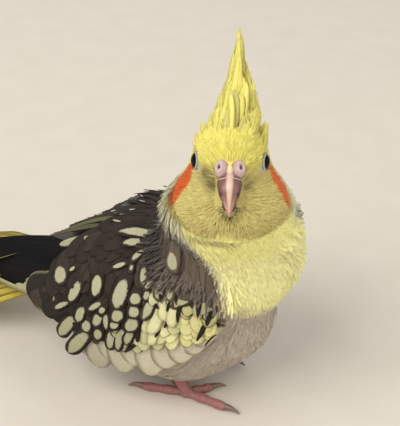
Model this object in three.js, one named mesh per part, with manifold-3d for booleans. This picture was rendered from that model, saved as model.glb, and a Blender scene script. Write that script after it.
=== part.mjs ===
// A pearl cockatiel, life size, crouched with its wings folded and its head turned to its right.
// Millimetres. +X is the way the body faces, +Y its left, +Z up, and it rests on Z = 0.
// The body is a field of egg shapes melted together; each piece of flesh is a length of one tube
// of rings run through that field, from the root of the tail to the bill.
import * as THREE from "three";
import { mergeVertices } from "three/addons/utils/BufferGeometryUtils.js";
import Module from "manifold-3d";

const wasm = await Module();
wasm.setup();

// Driving dimensions
const GAP = 0.3;
const BLEND = 8;
const HEAD_CENTRE = [19, -10.5, 105];
const HEAD_YAW = -65.5;
const HEAD_PITCH = 28;
const BILL_SEAT = 13;
const EYE = { forward: 5, side: 9.2, up: 5.8, radius: 3.4, lid: 0.75 };
const VANE = { thick: 0.56, stations: 5, tip: 0.18 };
const LEG = { right: 3, left: -6, y: 12, top: 17, lean: -5, ankle: 11, radius: 2.3, joint: 2.4 };

// Egg shapes of the body: centre, half sizes forward, left and up, then pitch in degrees
const BODY_EGGS = [
  { at: [-14, 0, 48], half: [42, 25, 25], pitch: 22 },
  { at: [15, -1, 66], half: [24, 24, 24], pitch: 50 },
  { at: [-3, 0, 33], half: [35, 23.5, 23], pitch: 14 },
  { at: [-4, -9.5, 22], half: [17, 10.5, 14], pitch: 10 },
  { at: [-4, 9.5, 22], half: [17, 10.5, 14], pitch: 10 },
  { at: [-48, 0, 40], half: [24, 14, 12], pitch: 12 },
  { at: [17, -5, 86], half: [21, 21, 20], pitch: 0 },
];

// Egg shapes of the head, in the head's own directions: skull, cheeks, chin and crown
const HEAD_EGGS = [
  { at: [-2, 0, 3], half: [17, 11.5, 14] },
  { at: [-4, 0, -9], half: [15, 19, 13] },
  { at: [2, 0, -12], half: [12, 14, 9] },
  { at: [0, 0, 9], half: [13, 9.5, 8] },
];

// Egg shapes that only the wings lie on: the fluffed flanks and the root of the tail
const WING_EGGS = [
  { at: [-22, -8, 34], half: [46, 17.5, 31], pitch: 14 },
  { at: [-25, 7.5, 29], half: [46, 17.5, 26], pitch: 12 },
];

// Stations of the tube: centre, then pitch and yaw of its ring in degrees
const STATIONS = [
  { at: [-66, 0, 37], pitch: 12, yaw: 0 },
  { at: [-48, 0, 40], pitch: 14, yaw: 0 },
  { at: [-26, 0, 44], pitch: 18, yaw: 0 },
  { at: [-6, 0, 48], pitch: 28, yaw: 0 },
  { at: [8, 0, 57], pitch: 46, yaw: 0 },
  { at: [15, -1, 69], pitch: 64, yaw: -6 },
  { at: [18, -4, 82], pitch: 76, yaw: -24 },
  { at: [18.5, -7.5, 94], pitch: 76, yaw: -46 },
  { at: [17.3, -7.1, 104.1], pitch: 66, yaw: HEAD_YAW },
];
const LAST = STATIONS.length - 1;
const NECK_FROM = 5.4;
const HEAD_FROM = 6.8;

// Vector helpers
const rad = THREE.MathUtils.degToRad;
const add = (a, b) => a.map((v, i) => v + b[i]);
const sub = (a, b) => a.map((v, i) => v - b[i]);
const mul = (a, k) => a.map((v) => v * k);
const dot = (a, b) => a[0] * b[0] + a[1] * b[1] + a[2] * b[2];
const cross = (a, b) => [
  a[1] * b[2] - a[2] * b[1],
  a[2] * b[0] - a[0] * b[2],
  a[0] * b[1] - a[1] * b[0],
];
const size = (a) => Math.hypot(...a);
const unit = (a) => mul(a, 1 / size(a));
const mix = (a, b, k) => a + (b - a) * k;
const mixPoint = (a, b, k) => a.map((v, i) => mix(v, b[i], k));
const steps = (n, from = 0, to = 1) => Array.from({ length: n }, (_, i) => mix(from, to, i / (n - 1)));

// Forward, left and up of something turned by yaw and pitched up, in degrees
function axes(yaw, pitch) {
  const forward = [
    Math.cos(rad(yaw)) * Math.cos(rad(pitch)),
    Math.sin(rad(yaw)) * Math.cos(rad(pitch)),
    Math.sin(rad(pitch)),
  ];
  const left = [-Math.sin(rad(yaw)), Math.cos(rad(yaw)), 0];
  return { forward, left, up: cross(forward, left) };
}

const HEAD = axes(HEAD_YAW, HEAD_PITCH);

// A point given forward, left and up of the head's centre
function onHead(forward, left, up) {
  const way = [HEAD.forward, HEAD.left, HEAD.up];
  return [forward, left, up].reduce((point, v, i) => add(point, mul(way[i], v)), HEAD_CENTRE);
}

const POLE = unit(sub(onHead(BILL_SEAT + 2, 0, -3), STATIONS[LAST].at));

// A seeded draw between -1 and 1, the same on every run
function draws(seed) {
  let state = seed;
  return () => {
    state = (state * 16807) % 2147483647;
    return (2 * state) / 2147483647 - 1;
  };
}

// Field

const bodyEggs = [
  ...BODY_EGGS.map((egg) => ({ ...egg, axes: axes(0, egg.pitch) })),
  ...HEAD_EGGS.map((egg) => ({ at: onHead(...egg.at), half: egg.half, axes: HEAD })),
];
const wingEggs = [...bodyEggs, ...WING_EGGS.map((egg) => ({ ...egg, axes: axes(0, egg.pitch) }))];

// Rough distance from a point to one egg, below zero inside
function eggDistance(point, egg) {
  const from = sub(point, egg.at);
  const along = [dot(from, egg.axes.forward), dot(from, egg.axes.left), dot(from, egg.axes.up)];
  const scaled = size(along.map((v, i) => v / egg.half[i]));
  const slope = size(along.map((v, i) => v / egg.half[i] ** 2));
  return (scaled * (scaled - 1)) / Math.max(slope, 1e-9);
}

// Distance to all eggs, with the valleys between them filled
function field(point, eggs) {
  return eggs
    .map((egg) => eggDistance(point, egg))
    .reduce((a, b) => {
      const near = Math.max(BLEND - Math.abs(a - b), 0) / BLEND;
      return Math.min(a, b) - (near * near * BLEND) / 4;
    });
}

// Tube

// Centre and directions of the ring at a place along the tube, by a smooth curve through the stations
function station(place) {
  const t = Math.min(Math.max(place, 0), LAST);
  const i = Math.min(Math.floor(t), LAST - 1);
  const k = t - i;
  const row = (n) => [...STATIONS[n].at, STATIONS[n].pitch, STATIONS[n].yaw];
  const first = i > 0 ? row(i - 1) : row(0).map((v, n) => 2 * v - row(1)[n]);
  const last = i + 2 <= LAST ? row(i + 2) : row(LAST).map((v, n) => 2 * v - row(LAST - 1)[n]);
  const here = row(i);
  const next = row(i + 1);
  const v = here.map((b, n) => {
    const [a, c, d] = [first[n], next[n], last[n]];
    return b + 0.5 * k * (c - a + k * (2 * a - 5 * b + 4 * c - d + k * (3 * (b - c) + d - a)));
  });
  const turned = axes(v[4], v[3]);
  return { centre: v.slice(0, 3), normal: turned.forward, left: turned.left, up: turned.up };
}

// The point on the skin at a place along the tube and an angle from its top line towards its left,
// standing off by a height. Past the last station the rings close in cones about the bill.
function skinPoint(place, angle, height = 0, eggs = bodyEggs, shift = 0) {
  const ring = station(place);
  const centre = add(ring.centre, mul(ring.normal, shift));
  const flat = add(mul(ring.up, Math.cos(angle)), mul(ring.left, Math.sin(angle)));
  const closing = (Math.PI / 2) * Math.min(Math.max(LAST + 1 - place, 0), 1);
  const way = unit(add(mul(flat, Math.sin(closing)), mul(POLE, Math.cos(closing))));
  const reach = (r) => field(add(centre, mul(way, r)), eggs) - height;
  let far = 2;
  while (reach(far) < 0 && far < 90) far += 3;
  let near = far - 3;
  for (let i = 0; i < 18; i++) {
    const middle = (near + far) / 2;
    if (reach(middle) > 0) far = middle;
    else near = middle;
  }
  return add(centre, mul(way, (near + far) / 2));
}

// Solids

// A manifold from points and triangles, turned to face out
function solid(points, faces) {
  const make = (list) =>
    new wasm.Manifold(
      new wasm.Mesh({
        numProp: 3,
        vertProperties: new Float32Array(points.flat()),
        triVerts: new Uint32Array(list.flat()),
      }),
    );
  const made = make(faces);
  return made.volume() > 0 ? made : make(faces.map(([a, b, c]) => [a, c, b]));
}

// A closed body through rings of equal count, its ends closed by fans about their middles
function loft(rings) {
  const n = rings[0].length;
  const points = rings.flat();
  const faces = [];
  for (let i = 0; i + 1 < rings.length; i++)
    for (let j = 0; j < n; j++) {
      const [a, b] = [i * n + j, i * n + ((j + 1) % n)];
      faces.push([a, b, b + n], [a, b + n, a + n]);
    }
  const middle = (ring) => ring.reduce((sum, p) => add(sum, mul(p, 1 / n)), [0, 0, 0]);
  const [first, last] = [points.length, points.length + 1];
  points.push(middle(rings[0]), middle(rings[rings.length - 1]));
  for (let j = 0; j < n; j++) {
    const next = (j + 1) % n;
    const end = (rings.length - 1) * n;
    faces.push([first, next, j], [last, end + j, end + next]);
  }
  return solid(points, faces);
}

// A manifold from a geometry class of the library, moved by a matrix
function fromGeometry(geometry, matrix = new THREE.Matrix4()) {
  const bare = geometry.clone().applyMatrix4(matrix);
  bare.deleteAttribute("normal");
  bare.deleteAttribute("uv");
  const merged = mergeVertices(bare, 1e-3);
  const flat = Array.from(merged.attributes.position.array);
  const index = Array.from(merged.index.array);
  const points = Array.from({ length: flat.length / 3 }, (_, i) => flat.slice(3 * i, 3 * i + 3));
  const faces = Array.from({ length: index.length / 3 }, (_, i) => index.slice(3 * i, 3 * i + 3));
  return solid(points, faces.filter(([a, b, c]) => a !== b && b !== c && c !== a));
}

const BALL = { around: 12, down: 8 };

function ball(centre, radius) {
  const place = new THREE.Matrix4().makeTranslation(...centre);
  return fromGeometry(new THREE.SphereGeometry(radius, BALL.around, BALL.down), place);
}

// A block below a plane through a point, its top facing along a direction
function blockBehind(point, direction, reach = 400) {
  const turn = new THREE.Quaternion().setFromUnitVectors(
    new THREE.Vector3(0, 0, 1),
    new THREE.Vector3(...direction),
  );
  const middle = new THREE.Vector3(...add(point, mul(direction, -reach / 2)));
  const place = new THREE.Matrix4().compose(middle, turn, new THREE.Vector3(1, 1, 1));
  return fromGeometry(new THREE.BoxGeometry(reach, reach, reach), place);
}

const underFloor = blockBehind([0, 0, 0], [0, 0, 1], 600);

const joined = (solids) => solids.reduce((a, b) => a.add(b));

// The largest closed surface of a solid
function largest(body) {
  return body.decompose().reduce((a, b) => (b.volume() > a.volume() ? b : a));
}

// A round bar of changing radius along points, with rings square to its path
function bar(path, radii, sides = 10) {
  const rings = path.map((point, i) => {
    const ahead = unit(sub(path[Math.min(i + 1, path.length - 1)], path[Math.max(i - 1, 0)]));
    const side = unit(cross(Math.abs(ahead[2]) > 0.9 ? [1, 0, 0] : [0, 0, 1], ahead));
    const up = cross(ahead, side);
    return steps(sides + 1, 0, 2 * Math.PI)
      .slice(0, sides)
      .map((a) => add(point, add(mul(side, radii[i] * Math.cos(a)), mul(up, radii[i] * Math.sin(a)))));
  });
  return loft(rings);
}

// A feather's vane: a thin tapered strip, cut alike on both faces.
// edge(k, side) gives the point of the middle of its thickness at share k of its length,
// on side -1 or 1, and face(k) the direction that its top looks.
function vane(edge, face, stations = VANE.stations) {
  const rings = steps(stations).map((k) => {
    const half = (VANE.thick / 2) * (k > 0.99 ? 0.6 : 1);
    const lift = mul(face(k), half);
    const [one, two] = [edge(k, -1), edge(k, 1)];
    return [sub(one, lift), sub(two, lift), add(two, lift), add(one, lift)];
  });
  const points = rings.flat();
  const faces = [];
  for (let i = 0; i + 1 < rings.length; i++) {
    const [a, b, c, d] = [0, 1, 2, 3].map((n) => 4 * i + n);
    const [e, f, g, h] = [a + 4, b + 4, c + 4, d + 4];
    faces.push([a, b, f], [a, f, e], [d, g, c], [d, h, g], [b, c, g], [b, g, f], [a, e, h], [a, h, d]);
  }
  const end = 4 * (rings.length - 1);
  faces.push([0, 2, 1], [0, 3, 2], [end, end + 1, end + 2], [end, end + 2, end + 3]);
  return solid(points, faces);
}

// Half width of a vane at share k of its length: narrow root, full middle, rounded or pointed tip
function vaneHalfWidth(k, width, roundness) {
  const rise = Math.min(1, 0.55 + 1.6 * k);
  const fall = Math.max(VANE.tip, Math.sqrt(Math.max(0, 1 - ((k - roundness) / (1 - roundness)) ** 2)));
  return (width / 2) * rise * (k > roundness ? fall : 1);
}

// Flesh: torso, neck and head

// A length of the tube between two places, with flat ends
function tubeLength(from, to, count, sides, shiftFrom, shiftTo) {
  const angles = steps(sides + 1, 0, 2 * Math.PI).slice(0, sides);
  const rings = steps(count, from, to).map((place, i) => {
    const shift = i === 0 ? shiftFrom : i === count - 1 ? shiftTo : 0;
    return angles.map((a) => skinPoint(place, a, 0, bodyEggs, shift));
  });
  return loft(rings);
}

function makeTorso() {
  const body = tubeLength(0, NECK_FROM, 22, 26, 0, -GAP / 2);
  const sockets = [-1, 1].map((side) => tarsus(side, GAP));
  return largest(body.subtract(joined(sockets)));
}

function makeNeck() {
  return tubeLength(NECK_FROM, HEAD_FROM, 7, 26, GAP / 2, -GAP / 2);
}

// The skull with its cheeks, cut flat for the bill, and hollowed for the eyes
function makeHead() {
  const skull = tubeLength(HEAD_FROM, LAST + 0.97, 18, 24, GAP / 2, 0);
  const seat = blockBehind(onHead(BILL_SEAT, 0, 0), mul(HEAD.forward, -1), 60);
  const lids = [-1, 1].map(eyeLid);
  const sockets = [-1, 1].map((side) => ball(eyeCentre(side), EYE.radius + GAP));
  return largest(joined([skull, ...lids, ...crestFeathers()]).subtract(joined([seat, ...sockets])));
}

const eyeCentre = (side) => onHead(EYE.forward, side * EYE.side, EYE.up);

function eyeLid(side) {
  const out = unit(add(mul(HEAD.left, side), mul(HEAD.forward, 0.12)));
  const turn = new THREE.Quaternion().setFromUnitVectors(
    new THREE.Vector3(0, 0, 1),
    new THREE.Vector3(...out),
  );
  const place = new THREE.Matrix4().compose(
    new THREE.Vector3(...add(eyeCentre(side), mul(out, 2))),
    turn,
    new THREE.Vector3(1, 1, 1),
  );
  return fromGeometry(new THREE.TorusGeometry(EYE.radius - 0.1, EYE.lid, 6, 16), place);
}

// Crest: rows across the crown from the forehead back, ending on a cone with the middle longest
const CREST = {
  rows: [
    { count: 3, forward: 9, up: 9.8, reach: 0.62, lean: 17, span: 0.5 },
    { count: 5, forward: 6.5, up: 12, reach: 1, lean: 21, span: 0.8 },
    { count: 5, forward: 3.5, up: 13.5, reach: 0.95, lean: 24, span: 1 },
    { count: 4, forward: 0.5, up: 14, reach: 0.84, lean: 28, span: 0.9 },
    { count: 3, forward: -2.5, up: 14, reach: 0.66, lean: 34, span: 0.7 },
  ],
  rootSide: 9,
  tipSide: 11,
  lowest: 21,
  highest: 48,
  taper: 1.35,
  width: 5,
  least: 5,
  rootDrop: 4.5,
  sink: 3.5,
  drift: 2.2,
  turn: 75,
  twist: 45,
  vary: 0.06,
  varyLean: 3,
};

function crestFeathers() {
  const random = draws(41);
  return CREST.rows.flatMap((row) =>
    steps(row.count, -row.span, row.span).map((across) => {
      const stretch = 1 + CREST.vary * random();
      const lean = row.lean + CREST.varyLean * random();
      return crestFeather(row, across + CREST.vary * random(), stretch, lean, CREST.twist * random());
    }),
  );
}

function crestFeather(row, across, stretch, lean, twist) {
  const outer = Math.min(1, Math.abs(across));
  const height = CREST.lowest + (CREST.highest - CREST.lowest) * (1 - outer) ** CREST.taper;
  const rise = Math.max(CREST.least, (height - row.up) * row.reach * stretch);
  const rootUp = row.up - CREST.rootDrop * outer * outer;
  const middle = (k) => {
    const run = (rise + CREST.sink) * k - CREST.sink;
    const back = run * Math.tan(rad(lean)) * (0.7 + 0.3 * k);
    const side = mix(CREST.rootSide, CREST.tipSide, k) * across + CREST.drift * k * (1 - outer);
    return onHead(row.forward - back, side, rootUp + run);
  };
  const width = CREST.width * (1 - 0.2 * outer);
  const front = unit(add(mul(HEAD.forward, Math.cos(rad(lean))), mul(HEAD.up, Math.sin(rad(lean)))));
  const turn = rad(CREST.turn * across + twist);
  const wide = add(mul(HEAD.left, Math.cos(turn)), mul(front, -Math.sin(turn)));
  const face = () => add(mul(front, Math.cos(turn)), mul(HEAD.left, Math.sin(turn)));
  const edge = (k, side) => add(middle(k), mul(wide, side * vaneHalfWidth(k, width, 0.4)));
  return vane(edge, face, 5);
}

// Bill, cere and eyes

const bezier = (points, k) => {
  let level = points;
  while (level.length > 1) level = level.slice(1).map((p, i) => mixPoint(level[i], p, k));
  return level[0];
};

// A mandible through sections between an upper and a lower curve, given forward and up of the head
function mandible(upper, lower, halfWidth, ridge, count = 9, sides = 12) {
  const rings = steps(count).map((k) => {
    const [top, bottom] = [bezier(upper, k), bezier(lower, k)];
    const half = halfWidth * (1 - k) ** 0.62 + 0.35;
    return steps(sides + 1, 0, 2 * Math.PI)
      .slice(0, sides)
      .map((a) => {
        const drop = (1 - Math.cos(a)) / 2;
        const point = mixPoint(top, bottom, drop);
        const side = half * Math.sign(Math.sin(a)) * Math.abs(Math.sin(a)) ** ridge;
        return onHead(point[0], side, point[1]);
      });
  });
  return loft(rings);
}

const BILL_BASE = BILL_SEAT + GAP;

function makeUpperBill() {
  const ridgeLine = [[BILL_BASE, 2.6], [19.5, 4.2], [23.4, -3.4], [17.6, -10.6]];
  const biteLine = [[BILL_BASE, -3.9], [16.5, -3.4], [18.9, -4.8], [17.1, -10]];
  return mandible(ridgeLine, biteLine, 4.3, 0.9);
}

function makeLowerBill() {
  const biteLine = [[BILL_BASE, -4.5], [15, -4.5], [16.5, -5.4], [16.7, -7]];
  const underLine = [[BILL_BASE, -9.3], [15.2, -9.4], [16.2, -8.8], [16.6, -7.4]];
  return mandible(biteLine, underLine, 3.1, 0.8, 6, 10);
}

// Two soft lobes above the bill, each with a nostril
function makeCere() {
  const lobe = (side) => {
    const place = new THREE.Matrix4().compose(
      new THREE.Vector3(...onHead(BILL_BASE + 0.6, side * 2.9, 5.1)),
      new THREE.Quaternion().setFromUnitVectors(
        new THREE.Vector3(0, 0, 1),
        new THREE.Vector3(...HEAD.up),
      ),
      new THREE.Vector3(2.5, 2.5, 2.7),
    );
    return fromGeometry(new THREE.SphereGeometry(1, BALL.around, BALL.down), place);
  };
  const nostril = (side) => ball(onHead(BILL_BASE + 3, side * 3.6, 5.5), 0.85);
  const behind = blockBehind(onHead(BILL_BASE, 0, 0), HEAD.forward, 60);
  const below = blockBehind(onHead(0, 0, 2.9), HEAD.up, 60);
  const bridge = ball(onHead(BILL_BASE + 0.2, 0, 4.6), 2);
  const soft = joined([lobe(-1), lobe(1), bridge]);
  return largest(soft.subtract(joined([behind, below, nostril(-1), nostril(1)])));
}

const makeEye = (side) => ball(eyeCentre(side), EYE.radius);

// Wings

// Lines of feathers from the shoulder to the wing's edge, from the back round to the wrist:
// place and angle at the root, place and angle at the tip, and how far the tip stands off
const WING_LINES = [
  { root: [5.2, 14], tip: [0.15, 28], off: 0.8 },
  { root: [5.5, 34], tip: [0.2, 82], off: 1.6 },
  { root: [5.7, 54], tip: [0.7, 122], off: 3 },
  { root: [5.75, 75], tip: [1.55, 130], off: 3.2 },
  { root: [5.5, 96], tip: [2.6, 130], off: 2.4 },
  { root: [5.15, 116], tip: [3.9, 130], off: 1.2 },
];
const WING = { inner: 1.1, thick: 3.2, rim: 0.9, edge: 0.62, across: 10, along: 8, ease: 1.8, over: 0.04 };

// One value of the lines at a share of the way across them, smoothed between neighbours
function wingLine(across) {
  const q = Math.min(Math.max(across, 0), 1) * (WING_LINES.length - 1);
  const i = Math.min(Math.floor(q), WING_LINES.length - 2);
  const [a, b] = [WING_LINES[i], WING_LINES[i + 1]];
  const k = q - i;
  const [root, tip] = [mixPoint(a.root, b.root, k), mixPoint(a.tip, b.tip, k)];
  return { root, tip, off: mix(a.off, b.off, k) };
}

// A point of a wing: share along its feather line, share across the lines, height above the body
function wingPoint(side, along, across, height) {
  const line = wingLine(across);
  const place = mix(line.root[0], line.tip[0], along);
  const angle = mix(line.root[1], line.tip[1], along ** WING.ease);
  const off = line.off * Math.max(0, along - 0.3);
  return skinPoint(place, rad(side * angle), height + off, wingEggs);
}

// How a wing's surface runs per unit of the share across, and the way that it faces
function wingAcross(side, along, across) {
  const step = 0.02;
  const [a, b] = [across + step, across - step].map((q) => wingPoint(side, along, q, WING.inner));
  return mul(sub(a, b), 0.5 / step);
}

function wingUp(side, along, across) {
  const [a, b] = [4, 2].map((height) => wingPoint(side, along, across, height));
  return unit(sub(a, b));
}

// The fleshy arm under the coverts, a curved slab with thin edges
function wingArm(side) {
  const rows = steps(WING.along, 0, WING.edge);
  const columns = steps(WING.across);
  const grid = (top) =>
    rows.map((s, i) =>
      columns.map((q, j) => {
        const rim = i === 0 || j === 0 || i === rows.length - 1 || j === columns.length - 1;
        const body = WING.thick * Math.sin(Math.PI * mix(0.2, 0.85, s / WING.edge)) ** 0.5;
        return wingPoint(side, s, q, WING.inner + (top ? (rim ? WING.rim : body) : 0));
      }),
    );
  return slab(grid(false), grid(true));
}

// A closed slab between two grids of points
function slab(under, over) {
  const [n, m] = [under.length, under[0].length];
  const points = [...under.flat(), ...over.flat()];
  const at = (i, j, top) => (top ? n * m : 0) + i * m + j;
  const faces = [];
  for (let i = 0; i + 1 < n; i++)
    for (let j = 0; j + 1 < m; j++)
      for (const top of [false, true]) {
        const [a, b] = [at(i, j, top), at(i, j + 1, top)];
        const [c, d] = [at(i + 1, j + 1, top), at(i + 1, j, top)];
        faces.push(...(top ? [[a, c, b], [a, d, c]] : [[a, b, c], [a, c, d]]));
      }
  const wall = (a, b) => faces.push([a, a + n * m, b + n * m], [a, b + n * m, b]);
  for (let j = 0; j + 1 < m; j++) {
    wall(at(0, j), at(0, j + 1));
    wall(at(n - 1, j + 1), at(n - 1, j));
  }
  for (let i = 0; i + 1 < n; i++) {
    wall(at(i + 1, 0), at(i, 0));
    wall(at(i, m - 1), at(i + 1, m - 1));
  }
  return solid(points, faces);
}

// Tiers of vanes on the wing: how many, shares along the lines of root and tip, width,
// heights of root and tip, and the tilt that lets each slide under its inner neighbour
const TIERS = [
  { count: 10, root: 0.46, tip: 1, width: 14, low: 2.4, high: 1.8, tilt: 1.5, round: 0.72, seed: 7 },
  { count: 9, root: 0.36, tip: 0.78, width: 13.5, low: 3.2, high: 4.3, tilt: 1.3, round: 0.6, seed: 8 },
  { count: 8, root: 0.18, tip: 0.56, width: 13.5, low: 3.3, high: 5.2, tilt: 1.3, round: 0.55, seed: 9 },
];

function wingTier(side, tier) {
  const random = draws(tier.seed);
  return steps(tier.count, 0.04, 0.97).map((across) => {
    const tip = tier.tip * (1 + 0.015 * random()) - (across > 0.9 ? 0.03 * (1 + random()) : 0);
    const width = tier.width * (1 + 0.05 * random());
    const share = (k) => mix(tier.root, tip, k);
    const edge = (k, hand) => {
      const half = vaneHalfWidth(k, width, tier.round);
      const tilt = hand * tier.tilt * (half / width) * Math.min(1, 0.3 + k);
      const q = across + (hand * half) / size(wingAcross(side, share(k), across));
      const kept = Math.min(Math.max(q, -WING.over), 1 + WING.over);
      return wingPoint(side, share(k), kept, mix(tier.low, tier.high, k) + tilt);
    };
    return vane(edge, (k) => wingUp(side, share(k), across));
  });
}

// Long flight feathers, from under the arm's rear edge out over the root of the tail.
// The inner ones are the shorter and lie on top.
const PRIMARY = {
  count: 5,
  root: 0.52,
  across: [0.16, 0.32],
  rootHeight: 3.4,
  rootStep: 0.15,
  width: 12.5,
  step: 0.9,
  low: 1.7,
  pass: 0.13,
  passSide: 11.5,
  tip: [0.34, 0.55],
  tipSide: [4.4, 7.5],
};

function primary(side, n) {
  const share = n / (PRIMARY.count - 1);
  const above = PRIMARY.low + PRIMARY.step * (PRIMARY.count - 1 - n);
  const across = mix(...PRIMARY.across, share);
  const from = wingPoint(side, PRIMARY.root, across, PRIMARY.rootHeight - PRIMARY.rootStep * n);
  const over = tailPoint(PRIMARY.pass, side * (PRIMARY.passSide + 0.6 * n), above);
  const to = tailPoint(mix(...PRIMARY.tip, share), side * mix(...PRIMARY.tipSide, share), above);
  const path = (k) => bezier([from, over, to], k);
  const rootWide = unit(wingAcross(side, PRIMARY.root, across));
  const tipWide = unit(sub(tailPoint(0.3, side * 2, -0.35), tailPoint(0.3, 0, 0)));
  const wide = (k) => unit(mixPoint(rootWide, tipWide, Math.min(1, 1.3 * k)));
  const edge = (k, hand) => add(path(k), mul(wide(k), hand * vaneHalfWidth(k, PRIMARY.width, 0.5)));
  const face = (k) => {
    const ahead = unit(sub(path(Math.min(1, k + 0.02)), path(Math.max(0, k - 0.02))));
    const up = unit(cross(ahead, wide(k)));
    return up[2] > 0 ? up : mul(up, -1);
  };
  return vane(edge, face, 6);
}

// Tail

const TAIL_LINE = [
  [-58, 0, 38.5],
  [-76, -2.5, 33.2],
  [-100, -8, 25.4],
  [-130, -14, 17],
  [-160, -20, 9.6],
  [-186, -25, 4],
  [-207, -29.5, 0.7],
];
const tailCurve = new THREE.CatmullRomCurve3(TAIL_LINE.map((p) => new THREE.Vector3(...p)));

// A point of the tail: share along its line, offset to the left and height above the line
function tailPoint(along, side, height) {
  const centre = tailCurve.getPointAt(along).toArray();
  const ahead = tailCurve.getTangentAt(along).toArray();
  const left = unit(cross(ahead, [0, 0, 1]));
  const up = cross(left, ahead);
  return add(centre, add(mul(left, side), mul(up, height)));
}

const TAIL = {
  length: 157,
  pairs: 6,
  reach: [1, 0.93, 0.8, 0.7, 0.62, 0.55],
  half: [6.4, 9, 11, 12.4, 13.4, 14],
  fan: [0, 0.02, 0.045, 0.075, 0.105, 0.14],
  step: 0.9,
  arch: 0.017,
  root: 0.1,
};

const TAIL_ROOT = { along: [0.09, 0.26], wide: [9.2, 9.5], high: [7.4, 2.6], drop: 2.2 };

function tailFeather(pair, side) {
  const inner = GAP / 2 + 0.05;
  const share = (k) => mix(TAIL.root, TAIL.reach[pair], k);
  const pointed = pair < 2 ? 0.55 : 0.78;
  const edge = (k, hand) => {
    const full = 2 * vaneHalfWidth(k, TAIL.half[pair] - inner, pointed);
    const spread = TAIL.fan[pair] * TAIL.length * (share(k) - TAIL.root);
    const out = inner + (hand < 0 ? 0 : full) + spread;
    return tailPoint(share(k), side * out, -TAIL.step * pair - TAIL.arch * out * out);
  };
  const face = (k) => unit(sub(tailPoint(share(k), side * 3, 2), tailPoint(share(k), side * 3, 1)));
  return vane(edge, face, 6);
}

// The fleshy root of the tail, from the torso's flat end to a thin wedge among the feathers
function tailRoot() {
  const end = station(0);
  const sides = 20;
  const angles = steps(sides + 1, 0, 2 * Math.PI).slice(0, sides);
  const rings = steps(7).map((k) => {
    if (k === 0) return angles.map((a) => skinPoint(0, a, -0.4, bodyEggs, -GAP));
    const { along, wide, high, drop } = TAIL_ROOT;
    const half = [mix(...wide, k), mix(...high, k ** 0.8)];
    const place = mix(...along, k);
    return angles.map((a) => tailPoint(place, half[0] * Math.sin(a), half[1] * Math.cos(a) - drop * k));
  });
  const ahead = blockBehind(add(end.centre, mul(end.normal, -GAP)), mul(end.normal, -1), 200);
  return loft(rings).subtract(ahead);
}

function makeTail() {
  const feathers = [];
  for (let pair = 0; pair < TAIL.pairs; pair++)
    feathers.push(tailFeather(pair, -1), tailFeather(pair, 1));
  return largest(joined([tailRoot(), ...feathers]).subtract(underFloor));
}

// Legs and claws

// Toes: name, way it points in degrees from straight ahead towards its own side, and length
const TOES = [
  { name: "claw_1", turn: -152, length: 10, radius: 1.6 },
  { name: "claw_2", turn: -42, length: 10.5, radius: 1.8 },
  { name: "claw_3", turn: 1, length: 17.5, radius: 1.9 },
  { name: "claw_4", turn: 164, length: 18, radius: 1.8 },
];
const CLAW = { length: 5.4, radius: 1.25, tip: 0.22, arch: 0.7, drop: 0.9 };
const SOLE = 1.5;
const KNUCKLE = { radius: 2.7, lift: 0.4 };

const footAt = (side) => [side < 0 ? LEG.right : LEG.left, side * LEG.y];

function tarsus(side, grow = 0) {
  const [foot, y] = footAt(side);
  const shin = foot + LEG.lean;
  const path = [
    [shin, y, LEG.top + grow],
    [shin, y, LEG.ankle],
    [mix(shin, foot, 0.6), y, mix(LEG.ankle, LEG.joint, 0.6)],
    [foot, y, LEG.joint],
  ];
  const radii = [LEG.radius, LEG.radius, LEG.radius, LEG.radius * 1.05].map((r) => r + grow);
  return bar(path, radii, 8);
}

const toeWay = (toe, side) => [Math.cos(rad(toe.turn)), side * Math.sin(rad(toe.turn)), 0];

function toeSolid(toe, side) {
  const from = [...footAt(side), 0];
  const shares = steps(7);
  const path = shares.map((k) => add(from, add(mul(toeWay(toe, side), toe.length * k), [0, 0, SOLE])));
  const pads = (k) => 1 + 0.09 * Math.cos(5 * Math.PI * k);
  const radii = shares.map((k) => toe.radius * (1 - 0.16 * k) * pads(k));
  return bar(path, radii, 8);
}

function makeLeg(side) {
  const knuckle = ball([...footAt(side), SOLE + KNUCKLE.lift], KNUCKLE.radius);
  const toes = TOES.map((toe) => toeSolid(toe, side));
  return largest(joined([tarsus(side), knuckle, ...toes]).subtract(underFloor));
}

function makeClaw(toe, side) {
  const way = toeWay(toe, side);
  const start = add([...footAt(side), SOLE + 0.2], mul(way, toe.length + GAP));
  const shares = steps(6);
  const hook = (k) => [0, 0, CLAW.arch * Math.sin(Math.PI * k) - CLAW.drop * k];
  const path = shares.map((k) => add(start, add(mul(way, CLAW.length * k), hook(k))));
  const radii = shares.map((k) => CLAW.radius * (1 - k) ** 0.8 + CLAW.tip);
  return bar(path, radii, 8);
}

// Assembly

const FINISH = {
  flesh: { color: 0xa79a8c, roughness: 0.9, metalness: 0 },
  face: { color: 0xcfc27a, roughness: 0.9, metalness: 0 },
  wing: { color: 0x4b433f, roughness: 0.75, metalness: 0 },
  tail: { color: 0xd8c84e, roughness: 0.75, metalness: 0 },
  bill: { color: 0xd8a99b, roughness: 0.45, metalness: 0 },
  foot: { color: 0xb5676b, roughness: 0.6, metalness: 0 },
  claw: { color: 0x5b5150, roughness: 0.4, metalness: 0 },
  eye: { color: 0x0c0a0a, roughness: 0.1, metalness: 0 },
};

const figure = new THREE.Group();

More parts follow.
